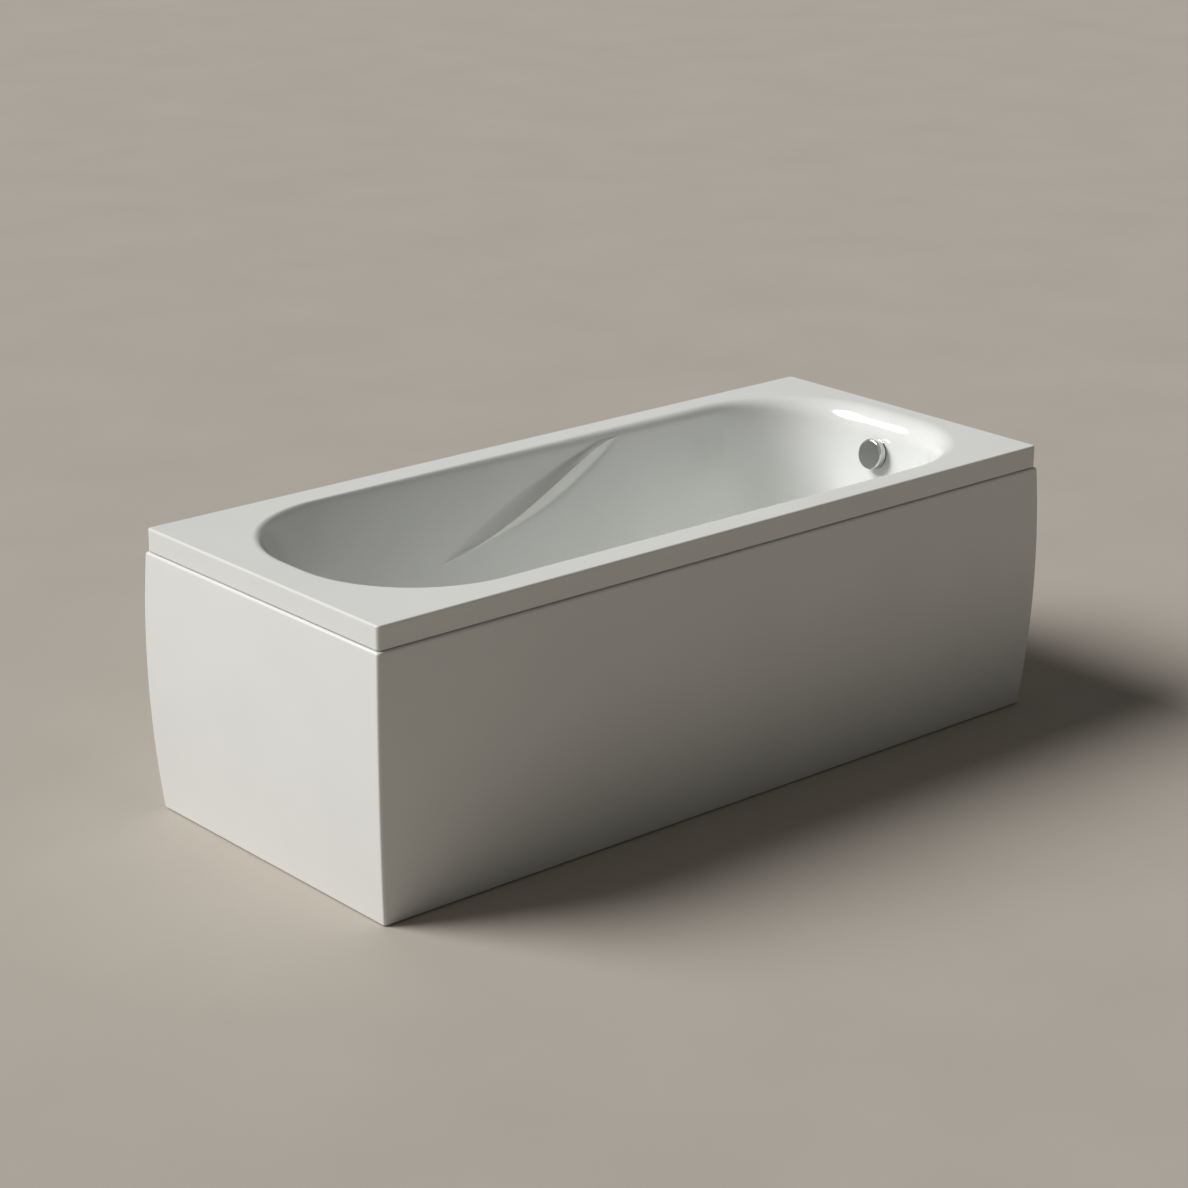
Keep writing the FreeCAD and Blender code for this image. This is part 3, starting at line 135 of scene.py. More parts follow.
# Panels
PANEL_WALL = 4 * MM
PANEL_FOOT_OUT = -6 * MM
PANEL_BELLY_OUT = 9 * MM
PANEL_HEAD_OUT = 4 * MM
PANEL_LIP = 20 * MM
PANEL_BROW_ROUND = 5 * MM
PANEL_CORNER_ROUND = 6 * MM
MITRE_GAP = 0.2 * MM
BARREL_STEPS = 24
END_STEPS = 6

# Chrome knob, its ring and the plug, as radii and as distances along their axes
KNOB_RADIUS = 32 * MM
KNOB_FACE = 25 * MM
KNOB_BACK = 8 * MM
KNOB_EDGE = 5 * MM
KNOB_CROWN = 0.8 * MM
KNOB_WALL = 4 * MM
KNOB_HUB = 8 * MM
KNOB_SOCKET = 20 * MM
SPINDLE_BORE = 4.05 * MM
RING_RADIUS = 31 * MM
RING_BORE = 21 * MM
RING_SLEEVE = 24 * MM
RING_FACE = 3 * MM
RING_BACK = -22 * MM
RING_EDGE = 1 * MM
PLUG_RADIUS = 34 * MM
PLUG_EDGE = 3 * MM
PLUG_BEAD = 1.2 * MM
PLUG_SEAT = 15 * MM
PLUG_SEAT_DROP = 6 * MM
TURN_STEPS = 96

# Edges that turn by more than these angles stay crisp, and points nearer than this are one
CRISP_DEGREES = 35
SHELL_CRISP_DEGREES = 60
PANEL_CRISP_DEGREES = 50
WELD = 0.001 * MM

# Floor and light: the key lamp's way, strength and spread, and the strength of the light all round
STAGE_REACH = 30
KEY_WAY = Vector((-0.56, 0.47, 0.68))
KEY_STRENGTH = 3.3
KEY_DEGREES = 34
FILL_STRENGTH = 0.1

# Camera, as the photo's perspective gives it, with angles in radians and a lens in millimetres
CAMERA_SPOT = Vector((-3598.76, -4087.24, 2236.24)) * MM
CAMERA_YAW = 0.7158
CAMERA_PITCH = -0.3363
CAMERA_ROLL = 0.0036
CAMERA_LENS = 90.05
SENSOR = 36


# Mesh helpers


def finish_mesh(name, bm, material, crisp_degrees=CRISP_DEGREES):
    """An object of a bmesh: smooth, with the edges past an angle kept crisp."""
    mesh = bpy.data.meshes.new(name)
    bm.to_mesh(mesh)
    bm.free()
    mesh.shade_smooth()
    mesh.set_sharp_from_angle(angle=math.radians(crisp_degrees))
    mesh.materials.append(material)
    piece = bpy.data.objects.new(name, mesh)
    bpy.context.scene.collection.objects.link(piece)
    return piece


def rounding(centre, radius, start, end):
    """Points of an arc in a section, between two angles in degrees."""
    angles = [math.radians(start + (end - start) * i / ROUND_STEPS) for i in range(ROUND_STEPS + 1)]
    across, up = centre
    return [(across + radius * math.cos(angle), up + radius * math.sin(angle)) for angle in angles]


def draw_loop(rows):
    """A bmesh of a loop of edges drawn from row to row of spots, and its first and last edges."""
    rows = list(rows)
    bm = bmesh.new()
    order = bm.verts.layers.int.new("order")
    ring = bmesh.ops.create_circle(bm, segments=len(rows[0]), radius=1)["verts"]
    for i, vert in enumerate(ring):
        vert[order] = i
        vert.co = rows[0][i]
    first = bm.edges[:]
    edges = first
    for row in rows[1:]:
        made = bmesh.ops.extrude_edge_only(bm, edges=edges)["geom"]
        loop = {part for part in made if isinstance(part, bmesh.types.BMVert)}
        for vert in loop:
            vert.co = row[vert[order]]
        drawn = [part for part in made if isinstance(part, bmesh.types.BMEdge)]
        edges = [edge for edge in drawn if loop.issuperset(edge.verts)]
    return bm, first, edges


def turned_piece(name, profile, material, place):
    """Spins (radius, height) points about Z and moves the piece to its place."""
    bm = bmesh.new()
    spots = [bm.verts.new((radius, 0, height)) for radius, height in profile]
    edges = [bm.edges.new(pair) for pair in zip(spots, spots[1:])]
    if profile[0][0] > 0:
        edges.append(bm.edges.new((spots[-1], spots[0])))
    bmesh.ops.spin(
        bm,
        geom=spots + edges,
        axis=(0, 0, 1),
        cent=(0, 0, 0),
        angle=math.tau,
        steps=TURN_STEPS,
        use_merge=True,
    )
    bmesh.ops.remove_doubles(bm, verts=bm.verts, dist=WELD)
    bmesh.ops.recalc_face_normals(bm, faces=bm.faces)
    bmesh.ops.transform(bm, matrix=place, verts=bm.verts)
    return finish_mesh(name, bm, material)


def stand_in(piece, body, node):
    """Hangs a piece on its body, in place of the frame's node."""
    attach(piece, body)
    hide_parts(node)


# Materials

# The colour sockets of a Mix node, which share their names with its number sockets
FIRST, SECOND, MIXED = 6, 7, 2


def colour(code):
    """Linear colour of an sRGB hex code."""
    shares = [int(code[i : i + 2], 16) / 255 for i in (1, 3, 5)]
    return (*[c / 12.92 if c <= 0.04045 else ((c + 0.055) / 1.055) ** 2.4 for c in shares], 1)


def add_node(tree, kind, inputs, **settings):
    """Adds a node with its settings, sets or links its inputs, and gives its outputs."""
    node = tree.nodes.new(kind)
    for name, value in settings.items():
        setattr(node, name, value)
    for socket, value in inputs.items():
        if isinstance(value, bpy.types.NodeSocket):
            tree.links.new(value, node.inputs[socket])
        else:
            node.inputs[socket].default_value = value
    return node.outputs


def new_material(name):
    """An empty material, and the object's own coordinates for its patterns."""
    material = bpy.data.materials.new(name)
    material.use_nodes = True
    tree = material.node_tree
    tree.nodes.clear()
    return material, tree, add_node(tree, "ShaderNodeTexCoord", {})["Object"]


def set_surface(tree, inputs):
    """Ends a material with its surface."""
    surface = add_node(tree, "ShaderNodeBsdfPrincipled", inputs)
    add_node(tree, "ShaderNodeOutputMaterial", {"Surface": surface["BSDF"]})


def sanitary_acrylic(name, glossiest, dullest):
    """Vacuum-formed acrylic sheet: clean white gloss, which its mould leaves with a slow ripple."""
    cloud_size = 240 * MM
    film_size = 180 * MM
    ripple_size = 28 * MM
    ripple_depth = 0.04 * MM
    material, tree, place = new_material(name)
    cloud = add_node(tree, "ShaderNodeTexNoise", {"Vector": place, "Scale": 1 / cloud_size, "Detail": 2})
    tint = {"Factor": cloud["Fac"], FIRST: colour("#EFF0ED"), SECOND: colour("#E7E8E5")}
    white = add_node(tree, "ShaderNodeMix", tint, data_type="RGBA")
    film = add_node(tree, "ShaderNodeTexNoise", {"Vector": place, "Scale": 1 / film_size, "Detail": 2})
    spread = {"From Min": 0.2, "From Max": 0.8, "To Min": glossiest, "To Max": dullest}
    sheen = {"Value": film["Fac"], **spread}
    gloss = add_node(tree, "ShaderNodeMapRange", sheen)
    ripple = add_node(tree, "ShaderNodeTexNoise", {"Vector": place, "Scale": 1 / ripple_size, "Detail": 1})
    bump = add_node(tree, "ShaderNodeBump", {"Height": ripple["Fac"], "Distance": ripple_depth})
    set_surface(
        tree,
        {
            "Base Color": white[MIXED],
            "Roughness": gloss["Result"],
            "IOR": 1.49,
            "Normal": bump["Normal"],
        },
    )
    return material


def chrome_plate():
    """Polished chrome plate: a mirror, with faint wipe marks that dull it in streaks."""
    streak_width = 9 * MM
    streak_stretch = (1, 0.2, 1)
    material, tree, place = new_material("chrome_plate")
    streaks = add_node(tree, "ShaderNodeMapping", {"Vector": place, "Scale": streak_stretch})
    wipes = {"Vector": streaks["Vector"], "Scale": 1 / streak_width, "Detail": 4}
    marks = add_node(tree, "ShaderNodeTexNoise", wipes)
    sheen = {"Value": marks["Fac"], "From Min": 0.35, "From Max": 0.7, "To Min": 0.04, "To Max": 0.1}
    gloss = add_node(tree, "ShaderNodeMapRange", sheen)
    set_surface(
        tree,
        {"Base Color": colour("#C4C5C5"), "Metallic": 1, "Roughness": gloss["Result"]},
    )
    return material


def zinc_plated_steel():
    """Zinc plate on pressed steel: dull grey metal in pale and dark crystal patches."""
    crystal_size = 7 * MM
    film_size = 12 * MM
    material, tree, place = new_material("zinc_plated_steel")
    crystals = add_node(tree, "ShaderNodeTexVoronoi", {"Vector": place, "Scale": 1 / crystal_size})
    tint = {"Factor": crystals["Color"], FIRST: colour("#A6A9AB"), SECOND: colour("#C3C5C6")}
    grey = add_node(tree, "ShaderNodeMix", tint, data_type="RGBA")
    film = add_node(tree, "ShaderNodeTexNoise", {"Vector": place, "Scale": 1 / film_size, "Detail": 3})
    sheen = {"Value": film["Fac"], "From Min": 0.3, "From Max": 0.7, "To Min": 0.32, "To Max": 0.5}
    gloss = add_node(tree, "ShaderNodeMapRange", sheen)
    set_surface(
        tree,
        {"Base Color": grey[MIXED], "Metallic": 1, "Roughness": gloss["Result"]},
    )
    return material


def planed_softwood(name, stretch):
    """Planed pine: pale yellow, with darker growth lines drawn out along the batten."""
    line_spacing = 5 * MM
    line_depth = 0.2 * MM
    material, tree, place = new_material(name)
    drawn = add_node(tree, "ShaderNodeMapping", {"Vector": place, "Scale": stretch})
    lines = {"Vector": drawn["Vector"], "Scale": 1 / line_spacing, "Detail": 6, "Roughness": 0.65}
    grain = add_node(tree, "ShaderNodeTexNoise", lines)
    contrast = {"Value": grain["Fac"], "From Min": 0.35, "From Max": 0.65}
    spread = add_node(tree, "ShaderNodeMapRange", contrast)
    tint = {"Factor": spread["Result"], FIRST: colour("#D9BE92"), SECOND: colour("#AF8A5C")}
    brown = add_node(tree, "ShaderNodeMix", tint, data_type="RGBA")
    dull = {"Value": grain["Fac"], "From Min": 0.3, "From Max": 0.7, "To Min": 0.55, "To Max": 0.75}
    matt = add_node(tree, "ShaderNodeMapRange", dull)
    bump = add_node(tree, "ShaderNodeBump", {"Height": grain["Fac"], "Distance": line_depth})
    set_surface(
        tree,
        {
            "Base Color": brown[MIXED],
            "Roughness": matt["Result"],
            "IOR": 1.45,
            "Normal": bump["Normal"],
        },
    )
    return material


def pressed_chipboard():
    """Chipboard: wood flakes of several browns, pressed flat and sanded."""
    flake_size = 6 * MM
    flake_depth = 0.3 * MM
    material, tree, place = new_material("pressed_chipboard")
    flakes = add_node(tree, "ShaderNodeTexVoronoi", {"Vector": place, "Scale": 1 / flake_size})
    tint = {"Factor": flakes["Color"], FIRST: colour("#BC9A6C"), SECOND: colour("#8B6A42")}
    brown = add_node(tree, "ShaderNodeMix", tint, data_type="RGBA")
    bump = add_node(tree, "ShaderNodeBump", {"Height": flakes["Distance"], "Distance": flake_depth})
    set_surface(
        tree,
        {"Base Color": brown[MIXED], "Roughness": 0.75, "IOR": 1.45, "Normal": bump["Normal"]},
    )
    return material


def moulded(name, light, dark, glossiest, dullest, grit):
    """Moulded plastic or rubber: one colour that wanders a little, under the fine grit of its mould."""
    cloud_size = 40 * MM
    grit_depth = 0.04 * MM
    material, tree, place = new_material(name)
    cloud = add_node(tree, "ShaderNodeTexNoise", {"Vector": place, "Scale": 1 / cloud_size, "Detail": 3})
    tint = {"Factor": cloud["Fac"], FIRST: colour(light), SECOND: colour(dark)}
    shade = add_node(tree, "ShaderNodeMix", tint, data_type="RGBA")
    pores = add_node(tree, "ShaderNodeTexNoise", {"Vector": place, "Scale": 1 / grit, "Detail": 3})
    spread = {"From Min": 0.3, "From Max": 0.7, "To Min": glossiest, "To Max": dullest}
    sheen = {"Value": pores["Fac"], **spread}
    gloss = add_node(tree, "ShaderNodeMapRange", sheen)
    bump = add_node(tree, "ShaderNodeBump", {"Height": pores["Fac"], "Distance": grit_depth})
    set_surface(
        tree,
        {
            "Base Color": shade[MIXED],
            "Roughness": gloss["Result"],
            "IOR": 1.5,
            "Normal": bump["Normal"],
        },
    )
    return material


SHELL_ACRYLIC = sanitary_acrylic("sanitary_acrylic", 0.07, 0.11)
PANEL_ACRYLIC = sanitary_acrylic("panel_acrylic", 0.2, 0.28)
CHROME = chrome_plate()
ALONG_GRAIN = 0.06
PINE = planed_softwood("planed_pine", (ALONG_GRAIN, 1, 1))
CROSS_PINE = planed_softwood("planed_pine_across", (1, ALONG_GRAIN, 1))
FINISHES = {
    "white_acrylic": PANEL_ACRYLIC,
    "chrome": CHROME,
    "softwood": PINE,
    "chipboard": pressed_chipboard(),
    "zinc_steel": zinc_plated_steel(),
    "black_rubber": moulded("nitrile_rubber", "#29292A", "#1B1B1C", 0.6, 0.8, 1.5 * MM),
    "white_plastic": moulded("white_polypropylene", "#E5E5E1", "#DAD9D4", 0.3, 0.45, 2 * MM),
    "grey_plastic": moulded("grey_polypropylene", "#7D8083", "#6C6F72", 0.3, 0.45, 2 * MM),
    "black_plastic": moulded("black_polyamide", "#2C2D2F", "#202123", 0.35, 0.55, 2 * MM),
}
CROSS_BATTENS = ("rim_batten_head", "rim_batten_foot")


def dress_frame():
    """Gives each node of the frame the finish of its slot."""
    slots = {subpart["node"]: subpart["material_slot"] for subpart in frame["record"]["subparts"]}
    for name, node in NODES.items():
        node.data.materials.clear()
        node.data.materials.append(CROSS_PINE if name in CROSS_BATTENS else FINISHES[slots[name]])


# Acrylic shell: one loop drawn from the skirt's foot over the rim and down the basin to the outlet


def outline(head, foot, half, head_corner, foot_corner):
    """A rounded outline as its four corner circles, from the front foot corner."""
    return [
        (Vector((foot - foot_corner, foot_corner - half)), foot_corner),
        (Vector((foot - foot_corner, half - foot_corner)), foot_corner),
        (Vector((head_corner - head, half - head_corner)), head_corner),
        (Vector((head_corner - head, head_corner - half)), head_corner),
    ]


def corner_spot(corners, number, share):
    """The place a share of the way round a corner."""
    centre, radius = corners[number]
    angle = (number - 1 + share) * math.pi / 2
    return centre + radius * Vector((math.cos(angle), math.sin(angle)))


def outline_spot(corners, station):
    """A station's place: its whole part names a corner or a side, and the rest how far along it."""
    part = int(station)
    number = part // 2
    if part % 2 == 0:
        return corner_spot(corners, number, station - part)
    start = corner_spot(corners, number, 1)
    end = corner_spot(corners, (number + 1) % len(corners), 0)
    return start.lerp(end, station - part)


def rim_outline(inset):
    reach = HALF_LENGTH - inset
    return outline(reach, reach, HALF_WIDTH - inset, RIM_CORNER - inset, RIM_CORNER - inset)


def basin_outline(head, foot, half, shares):
    return outline(head, foot, half, half * shares[0], half * shares[1])


MOUTH_HEAD = HALF_LENGTH - HEAD_RIM
MOUTH_FOOT = HALF_LENGTH - FOOT_RIM
MOUTH = basin_outline(MOUTH_HEAD, MOUTH_FOOT, MOUTH_HALF, MOUTH_CORNER_SHARES)
FLOOR = basin_outline(MOUTH_HEAD - HEAD_SLOPE, MOUTH_FOOT - FOOT_SLOPE, FLOOR_HALF, FLOOR_CORNER_SHARES)


def held(share):
    """A share held between 0 and 1."""
    return min(max(share, 0), 1)


def eased(share):
    """A share held between 0 and 1, with a soft start and end."""
    share = held(share)
    return share * share * (3 - 2 * share)


def mouth_roll(station):
    """The mouth's rounding at a station: firm along the sides and the head, soft at the foot."""
    ends = (SIDE_ROLL, FOOT_ROLL, FOOT_ROLL, SIDE_ROLL, SIDE_ROLL, HEAD_ROLL, HEAD_ROLL, SIDE_ROLL)
    part = int(station)
    if part % 2 == 1:
        return ends[part]
    return ends[part] + (ends[part + 1] - ends[part]) * eased(station - part)


LEAF_CHORD = LEAF_TIP - LEAF_TAIL
LEAF_WAY = LEAF_CHORD.normalized()
BROW, CREST, CREASE = range(3)


def leaf_lines(along):
    """How far across its chord the fold's brow, crest and crease lie, at a share of the way along it."""
    brow = LEAF_BROW * math.sin(math.pi * along) ** BROW_FULLNESS
    crease = LEAF_CREASE * math.sin(math.pi * along**CREASE_LEAN)
    # The crest crosses from the crease at the tail towards the brow at the tip
    crossing = CREST_SHARE * math.sin(math.pi / 2 * along)
    return brow, crease + (brow - crease) * crossing, crease


def leaf_height(x, drop):
    """How far the fold swells in from a side wall: up from brow to crest, then down to a crisp crease."""
    spot = Vector((x, drop)) - LEAF_TAIL
    along = spot.dot(LEAF_WAY) / LEAF_CHORD.length
    if not 0 < along < 1:
        return 0
    across = spot.dot(Vector((-LEAF_WAY.y, LEAF_WAY.x)))
    brow, crest, crease = leaf_lines(along)
    rise = held((across - brow) / max(crest - brow, FLANK_LEAST)) ** LEAF_RISE
    fall = 1 - (1 - held((across - crest) / max(crease - crest, FLANK_LEAST))) ** LEAF_FALL
    back = held((across - crease) / CREASE_WIDTH)
    swell = LEAF_HEIGHT * (rise - fall) - CREASE_DEPTH * (fall - back)
    return swell * math.sin(math.pi * along) ** HEIGHT_FULLNESS * eased(drop / LEAF_START)


def leaf_row(x, shift, line):
    """How far down a section meets a line of the leaf, where it moves along X by shift as it drops."""
    drop = 0
    off = 0
    for _ in range(ROW_ROUNDS):
        along = held((x + shift * drop - LEAF_TAIL.x + off * LEAF_WAY.y) / LEAF_CHORD.x)
        off = leaf_lines(along)[line]
        drop = LEAF_TAIL.y + along * LEAF_CHORD.y + off * LEAF_WAY.x
    return drop


def wall_rows(x, shift, first, last):
    """How far down the wall's rows lie: evenly, but along the leaf's lines where it is near."""
    brow = max(leaf_row(x, shift, BROW), first + ROW_GAP)
    crest = max(leaf_row(x, shift, CREST), brow + ROW_GAP)
    crease = max(leaf_row(x, shift, CREASE), crest + ROW_GAP)
    marks = [(0, first), (BROW_ROW, brow), (CREST_ROW, crest), (CREASE_ROW, crease)]
    marks += [(HOLD_ROW, crease + CREASE_WIDTH), (WALL_STEPS, last)]
    past = max(LEAF_TAIL.x - x, x - LEAF_TIP.x, 0)
    follow = 1 - eased(past / ROW_BLEND)
    rows = []
    for (start, high), (end, low) in zip(marks, marks[1:]):
        for i in range(start, end):
            near = high + (low - high) * (i - start) / (end - start)
            even = first + (last - first) * i / WALL_STEPS
            rows.append(even + (near - even) * follow)
    return rows[1:]


def basin_section(station):
    """An upright section of the basin from the mouth's roll to the floor, as places and heights."""
    edge = outline_spot(MOUTH, station)
    foot = outline_spot(FLOOR, station)
    run = (foot - edge).length
    inward = (foot - edge).normalized()
    lean = math.atan2(run, BASIN_DEPTH)
    turn = math.pi / 2 - lean
    roll = mouth_roll(station)
    reach = roll * math.tan(turn / 2)
    points = [(-reach - RIM_HOLD, 0)]
    for i in range(ROUND_STEPS + 1):
        angle = turn * i / ROUND_STEPS
        points.append((roll * math.sin(angle) - reach, roll * (1 - math.cos(angle))))
    floor_reach = FLOOR_ROUND * math.tan(turn / 2)
    shift = inward.x * math.tan(lean)
    for drop in wall_rows(edge.x, shift, points[-1][1], BASIN_DEPTH - floor_reach * math.cos(lean)):
        across = drop * math.tan(lean)
        if int(station) in SIDE_PARTS:
            across += leaf_height(edge.x + shift * drop, drop)
        points.append((across, drop))
    for i in range(ROUND_STEPS + 1):
        angle = turn * (1 - i / ROUND_STEPS)
        across = run + floor_reach - FLOOR_ROUND * math.sin(angle)
        points.append((across, BASIN_DEPTH - FLOOR_ROUND * (1 - math.cos(angle))))
    return [(edge + inward * across, RIM_TOP - drop) for across, drop in points]


def rim_section(station):
    """A section of the rim from the skirt's foot to the deck, as places and heights."""
    skirt = outline_spot(rim_outline(0), station)
    points = [(skirt, RIM_TOP - SKIRT), (skirt, RIM_TOP - SKIRT + RIM_HOLD)]
    points.append((skirt, RIM_TOP - RIM_EDGE - RIM_HOLD))
    for out, up in rounding((0, 0), RIM_EDGE, 0, 90):
        points.append((outline_spot(rim_outline(RIM_EDGE - out), station), RIM_TOP - RIM_EDGE + up))
    points.append((outline_spot(rim_outline(RIM_EDGE + RIM_HOLD), station), RIM_TOP))
    return points


def outlet_section(spot, height):
    """Carries a section on across the flat floor to the outlet's hole."""
    spoke = spot - OUTLET.xy
    way = spoke.normalized()
    reaches = [OUTLET_HOLE + (spoke.length - OUTLET_HOLE) * share for share in OUTLET_SHARES]
    return [(OUTLET.xy + way * reach, height) for reach in reaches]


def shell_section(station):
    points = rim_section(station) + basin_section(station)
    points += outlet_section(*points[-1])
    return [Vector((place.x, place.y, height)) for place, height in points]


def foot_wall_frame():
    """The knob's place on the foot wall: Z into the basin along its axis, X up the wall."""
    out = Vector(KNOB_TURN["axis"]).normalized()
    side = Vector((0, 1, 0))
    turn = Matrix((side.cross(out), side, out)).transposed().to_4x4()
    return Matrix.Translation(KNOB_TURN["pos_m"]) @ turn


def open_overflow(bm):
    """Opens the overflow's hole in the foot wall and draws its edge to a circle."""
    wall = foot_wall_frame()
    to_wall = wall.inverted()
    inside = []
    for face in bm.faces:
        spot = to_wall @ face.calc_center_median()
        if spot.xy.length < OVERFLOW_HOLE and abs(spot.z) < OVERFLOW_HOLE:
            inside.append(face)
    bmesh.ops.delete(bm, geom=inside, context="FACES")
    for vert in bm.verts:
        spot = to_wall @ vert.co
        if vert.is_boundary and spot.xy.length < 2 * OVERFLOW_HOLE and abs(spot.z) < OVERFLOW_HOLE:
            circle = spot.xy.normalized() * OVERFLOW_HOLE
            vert.co = wall @ Vector((*circle, spot.z))


def make_shell():
    stations = [part + i / count for part, count in enumerate(LOOP_STEPS) for i in range(count)]
    sections = [shell_section(station) for station in stations]
    bm, *_ = draw_loop(zip(*sections))
    open_overflow(bm)
    bmesh.ops.recalc_face_normals(bm, faces=bm.faces)
    deck = max(bm.faces, key=lambda face: face.calc_center_median().z)
    if deck.normal.z < 0:
        bmesh.ops.reverse_faces(bm, faces=bm.faces)
    for edge in bm.edges:
        edge.smooth = not edge.is_boundary
    shell = finish_mesh("acrylic_shell", bm, SHELL_ACRYLIC, SHELL_CRISP_DEGREES)
    wall = shell.modifiers.new("wall", "SOLIDIFY")
    wall.thickness = SHELL_WALL
    wall.offset = -1
    stand_in(shell, "bath", "tub_shell")


# Panels


def barrel(height):
    """How far a panel's outer face stands out from the rim's edge."""
    middle = (PANEL_TOP + PANEL_LOW) / 2
    step = (height - middle) / (PANEL_TOP - middle)
    lean = (PANEL_HEAD_OUT - PANEL_FOOT_OUT) / 2
    bow = (PANEL_HEAD_OUT + PANEL_FOOT_OUT) / 2 - PANEL_BELLY_OUT
    return PANEL_BELLY_OUT + lean * step + bow * step * step


def panel_section():
    """A panel's section: how far its face, brow and lips stand out from the rim's edge, and how high."""
    brow = PANEL_TOP - PANEL_BROW_ROUND
    heights = [PANEL_LOW + (brow - PANEL_LOW) * i / BARREL_STEPS for i in range(BARREL_STEPS + 1)]
    outer = [(barrel(height), height) for height in heights]
    outer += rounding((barrel(brow) - PANEL_BROW_ROUND, brow), PANEL_BROW_ROUND, 0, 90)[1:]
    under = PANEL_TOP - PANEL_WALL
    head_lip = PANEL_HEAD_OUT - PANEL_LIP
    inner = [(head_lip, PANEL_TOP), (head_lip, under)]
    inner += [(barrel(height) - PANEL_WALL, height) for height in (under, *reversed(heights[1:-1]))]
    sill = PANEL_LOW + PANEL_WALL
    foot_lip = PANEL_FOOT_OUT - PANEL_LIP
    inner += [(barrel(sill) - PANEL_WALL, sill), (foot_lip, sill), (foot_lip, PANEL_LOW)]
    return outer + inner


def panel_end(half_span, share):
    """The panel's section near its end, where its face turns through half of the corner's rounding."""
    angle = math.pi / 4 * share
    back = PANEL_CORNER_ROUND * (1 - math.cos(angle))
    ahead = PANEL_CORNER_ROUND * (math.sin(angle) - 1)
    points = []
    for out, height in panel_section():
        end = half_span + out - MITRE_GAP
        if out > barrel(height) - PANEL_WALL / 2 or height > PANEL_TOP - PANEL_WALL / 2:
            points.append((end + ahead, out - back, height))
        else:
            points.append((end + PANEL_CORNER_ROUND * (share - 1), out, height))
    return [Vector(point) for point in points]


def make_panel(node, half_span, degrees, offset):
    """Draws a panel's section from one mitre to the other and turns it to its side."""
    half = [panel_end(half_span, i / END_STEPS) for i in range(END_STEPS + 1)]
    mirror = Matrix.Diagonal((-1, 1, 1))
    columns = [[mirror @ spot for spot in column] for column in reversed(half)] + half
    bm, *ends = draw_loop(columns)
    for end in ends:
        bmesh.ops.contextual_create(bm, geom=end)
    bmesh.ops.recalc_face_normals(bm, faces=bm.faces)
    place = Matrix.Rotation(math.radians(degrees), 4, "Z") @ Matrix.Translation((0, offset, 0))
    bmesh.ops.transform(bm, matrix=place, verts=bm.verts)
    panel = finish_mesh(f"{node}_skin", bm, PANEL_ACRYLIC, PANEL_CRISP_DEGREES)
    stand_in(panel, "bath", node)


# Chrome pieces


def make_knob():
    """The knob's cap: a barely crowned face with a small round edge, hollow behind, on its hub."""
    inner = KNOB_RADIUS - KNOB_WALL
    under = KNOB_FACE - KNOB_WALL
    face = KNOB_RADIUS - KNOB_EDGE
    shares = [i / ROUND_STEPS for i in range(ROUND_STEPS)]
    profile = [(face * share, KNOB_FACE - KNOB_CROWN * share * share) for share in shares]
    profile += rounding((face, KNOB_FACE - KNOB_CROWN - KNOB_EDGE), KNOB_EDGE, 90, 0)
    profile += [(KNOB_RADIUS, KNOB_BACK), (inner, KNOB_BACK), (inner, under), (KNOB_HUB, under)]
    profile += [(KNOB_HUB, KNOB_BACK), (SPINDLE_BORE, KNOB_BACK)]
    profile += [(SPINDLE_BORE, KNOB_SOCKET), (0, KNOB_SOCKET)]
    knob = turned_piece("knob_cap", profile, CHROME, foot_wall_frame())
    stand_in(knob, "knob", "overflow_knob")


def make_ring():
    """The ring behind the knob, with its sleeve through the wall."""
    profile = [(RING_BORE, RING_FACE)]
    profile += rounding((RING_RADIUS - RING_EDGE, RING_FACE - RING_EDGE), RING_EDGE, 90, 0)
    profile += [(RING_RADIUS, 0), (RING_SLEEVE, 0), (RING_SLEEVE, RING_BACK), (RING_BORE, RING_BACK)]
    ring = turned_piece("overflow_trim", profile, CHROME, foot_wall_frame())
    stand_in(ring, "bath", "overflow_ring")


def make_plug():
    """The plug's cap: a low dome with a beaded edge, on its seat."""
    rest = PLUG_LOW.z + PLUG_SEAT_DROP
    shoulder = rest + PLUG_EDGE
    crown = PLUG_HIGH.z - shoulder
    profile = [(0, PLUG_HIGH.z)]
    inner = PLUG_RADIUS - PLUG_BEAD
    for i in range(1, ROUND_STEPS):
        share = i / ROUND_STEPS
        profile.append((inner * share, shoulder + crown * (1 - share * share)))
    profile += rounding((inner, shoulder - PLUG_BEAD), PLUG_BEAD, 90, 0)
    profile += [(PLUG_RADIUS, rest), (PLUG_SEAT, rest), (PLUG_SEAT, PLUG_LOW.z), (0, PLUG_LOW.z)]
    plug = turned_piece("plug_dome", profile, CHROME, Matrix.Translation((OUTLET.x, OUTLET.y, 0)))
    stand_in(plug, "plug", "plug_cap")


# Stage, light and camera


def make_stage():
    """A plain pale floor that wanders a little in tone."""
    cloud_size = 400 * MM
    bm = bmesh.new()
    bmesh.ops.create_grid(bm, x_segments=1, y_segments=1, size=STAGE_REACH)
    material, tree, place = new_material("pale_floor")
    cloud = add_node(tree, "ShaderNodeTexNoise", {"Vector": place, "Scale": 1 / cloud_size, "Detail": 4})
    tint = {"Factor": cloud["Fac"], FIRST: colour("#BEB6AB"), SECOND: colour("#B4ACA1")}
    shade = add_node(tree, "ShaderNodeMix", tint, data_type="RGBA")
    set_surface(tree, {"Base Color": shade[MIXED], "Roughness": 0.9})
    finish_mesh("floor", bm, material)


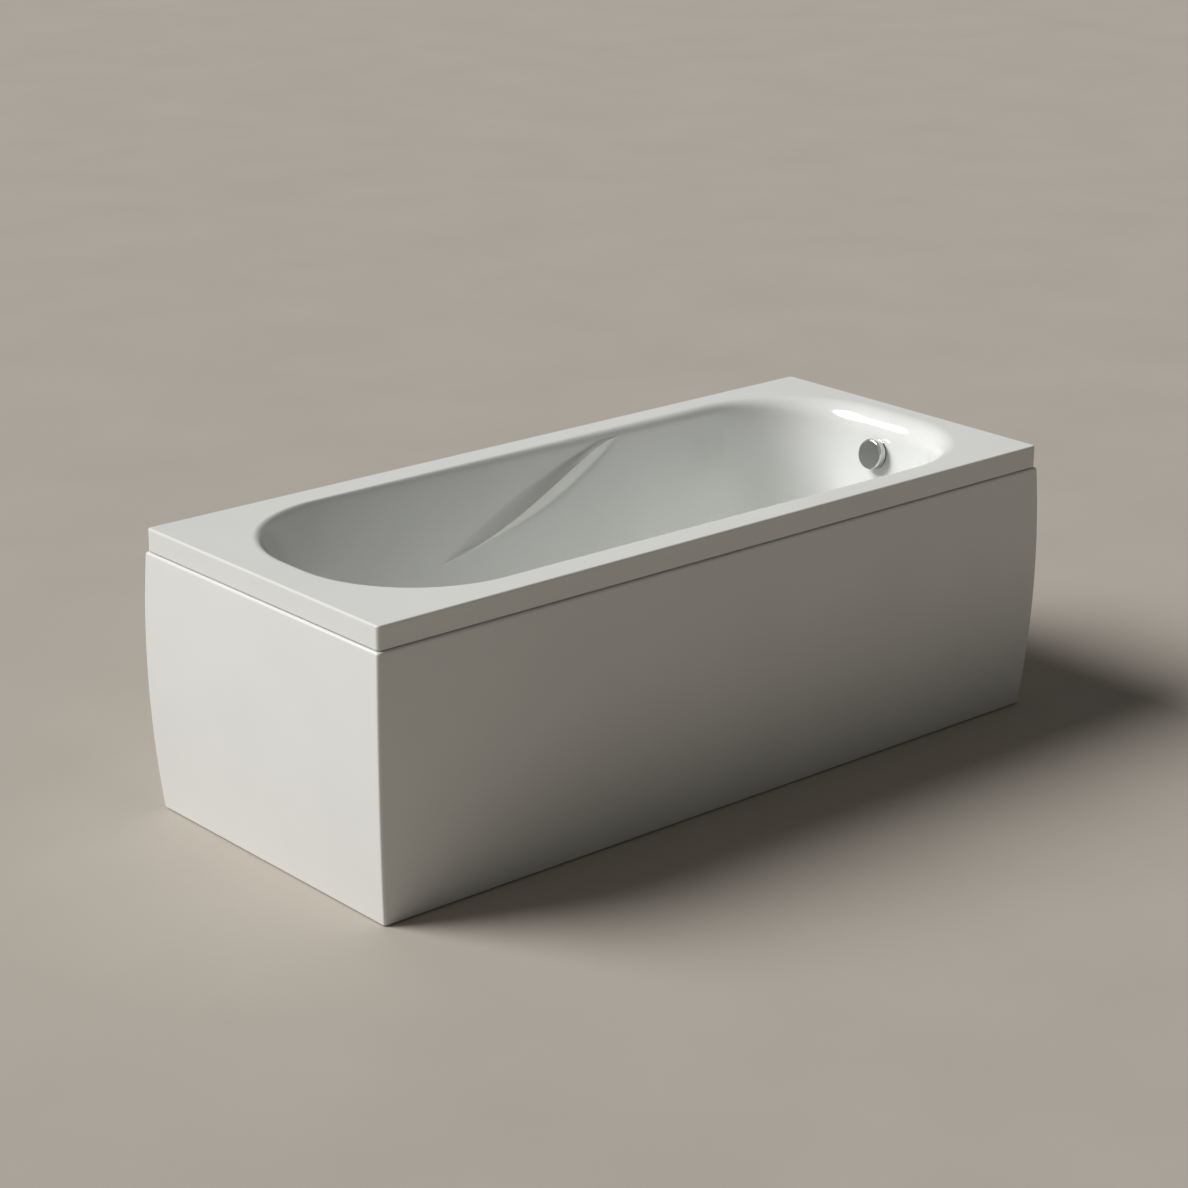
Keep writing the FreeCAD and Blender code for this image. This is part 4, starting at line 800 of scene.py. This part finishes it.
def make_key_light():
    """A wide, soft lamp from high beyond the head end's back corner, which lights the whole stage."""
    light = bpy.data.lights.new("key_light", "SUN")
    light.energy = KEY_STRENGTH
    light.angle = math.radians(KEY_DEGREES)
    lamp = bpy.data.objects.new("key_light", light)
    lamp.rotation_euler = KEY_WAY.to_track_quat("Z", "Y").to_euler()
    bpy.context.scene.collection.objects.link(lamp)


def make_studio():
    """Weak light all round, and a pale background for the eye and for what mirrors it."""
    world = bpy.data.worlds.new("studio")
    world.use_nodes = True
    tree = world.node_tree
    tree.nodes.clear()
    ray = add_node(tree, "ShaderNodeLightPath", {})
    seen = {0: ray["Is Camera Ray"], 1: ray["Is Glossy Ray"]}
    mirrored = add_node(tree, "ShaderNodeMath", seen, operation="MAXIMUM")
    seen = {0: mirrored["Value"], 1: ray["Is Transmission Ray"]}
    eye = add_node(tree, "ShaderNodeMath", seen, operation="MAXIMUM")
    air = add_node(tree, "ShaderNodeBackground", {"Color": colour("#D2D2CF"), "Strength": FILL_STRENGTH})
    wall = add_node(tree, "ShaderNodeBackground", {"Color": colour("#B5B1AB")})
    sky = {0: eye["Value"], 1: air["Background"], 2: wall["Background"]}
    surface = add_node(tree, "ShaderNodeMixShader", sky)["Shader"]
    add_node(tree, "ShaderNodeOutputWorld", {"Surface": surface})
    bpy.context.scene.world = world


def make_camera():
    level = math.cos(CAMERA_PITCH)
    ahead = Vector((math.sin(CAMERA_YAW) * level, math.cos(CAMERA_YAW) * level, math.sin(CAMERA_PITCH)))
    right = Vector((math.cos(CAMERA_YAW), -math.sin(CAMERA_YAW), 0))
    turn = Matrix((right, right.cross(ahead), -ahead)).transposed()
    turn = turn @ Matrix.Rotation(CAMERA_ROLL, 3, "Z")
    lens = bpy.data.cameras.new("camera")
    lens.lens = CAMERA_LENS
    lens.sensor_width = SENSOR
    camera = bpy.data.objects.new("camera", lens)
    camera.matrix_world = Matrix.Translation(CAMERA_SPOT) @ turn.to_4x4()
    bpy.context.scene.collection.objects.link(camera)
    bpy.context.scene.camera = camera


dress_frame()
make_shell()
make_panel("front_panel", HALF_LENGTH, 180, HALF_WIDTH)
make_panel("back_panel", HALF_LENGTH, 0, HALF_WIDTH)
make_panel("head_panel", HALF_WIDTH, 90, HALF_LENGTH)
make_panel("foot_panel", HALF_WIDTH, -90, HALF_LENGTH)
make_knob()
make_ring()
make_plug()
make_stage()
make_key_light()
make_studio()
make_camera()
bpy.context.scene.view_settings.view_transform = "Standard"
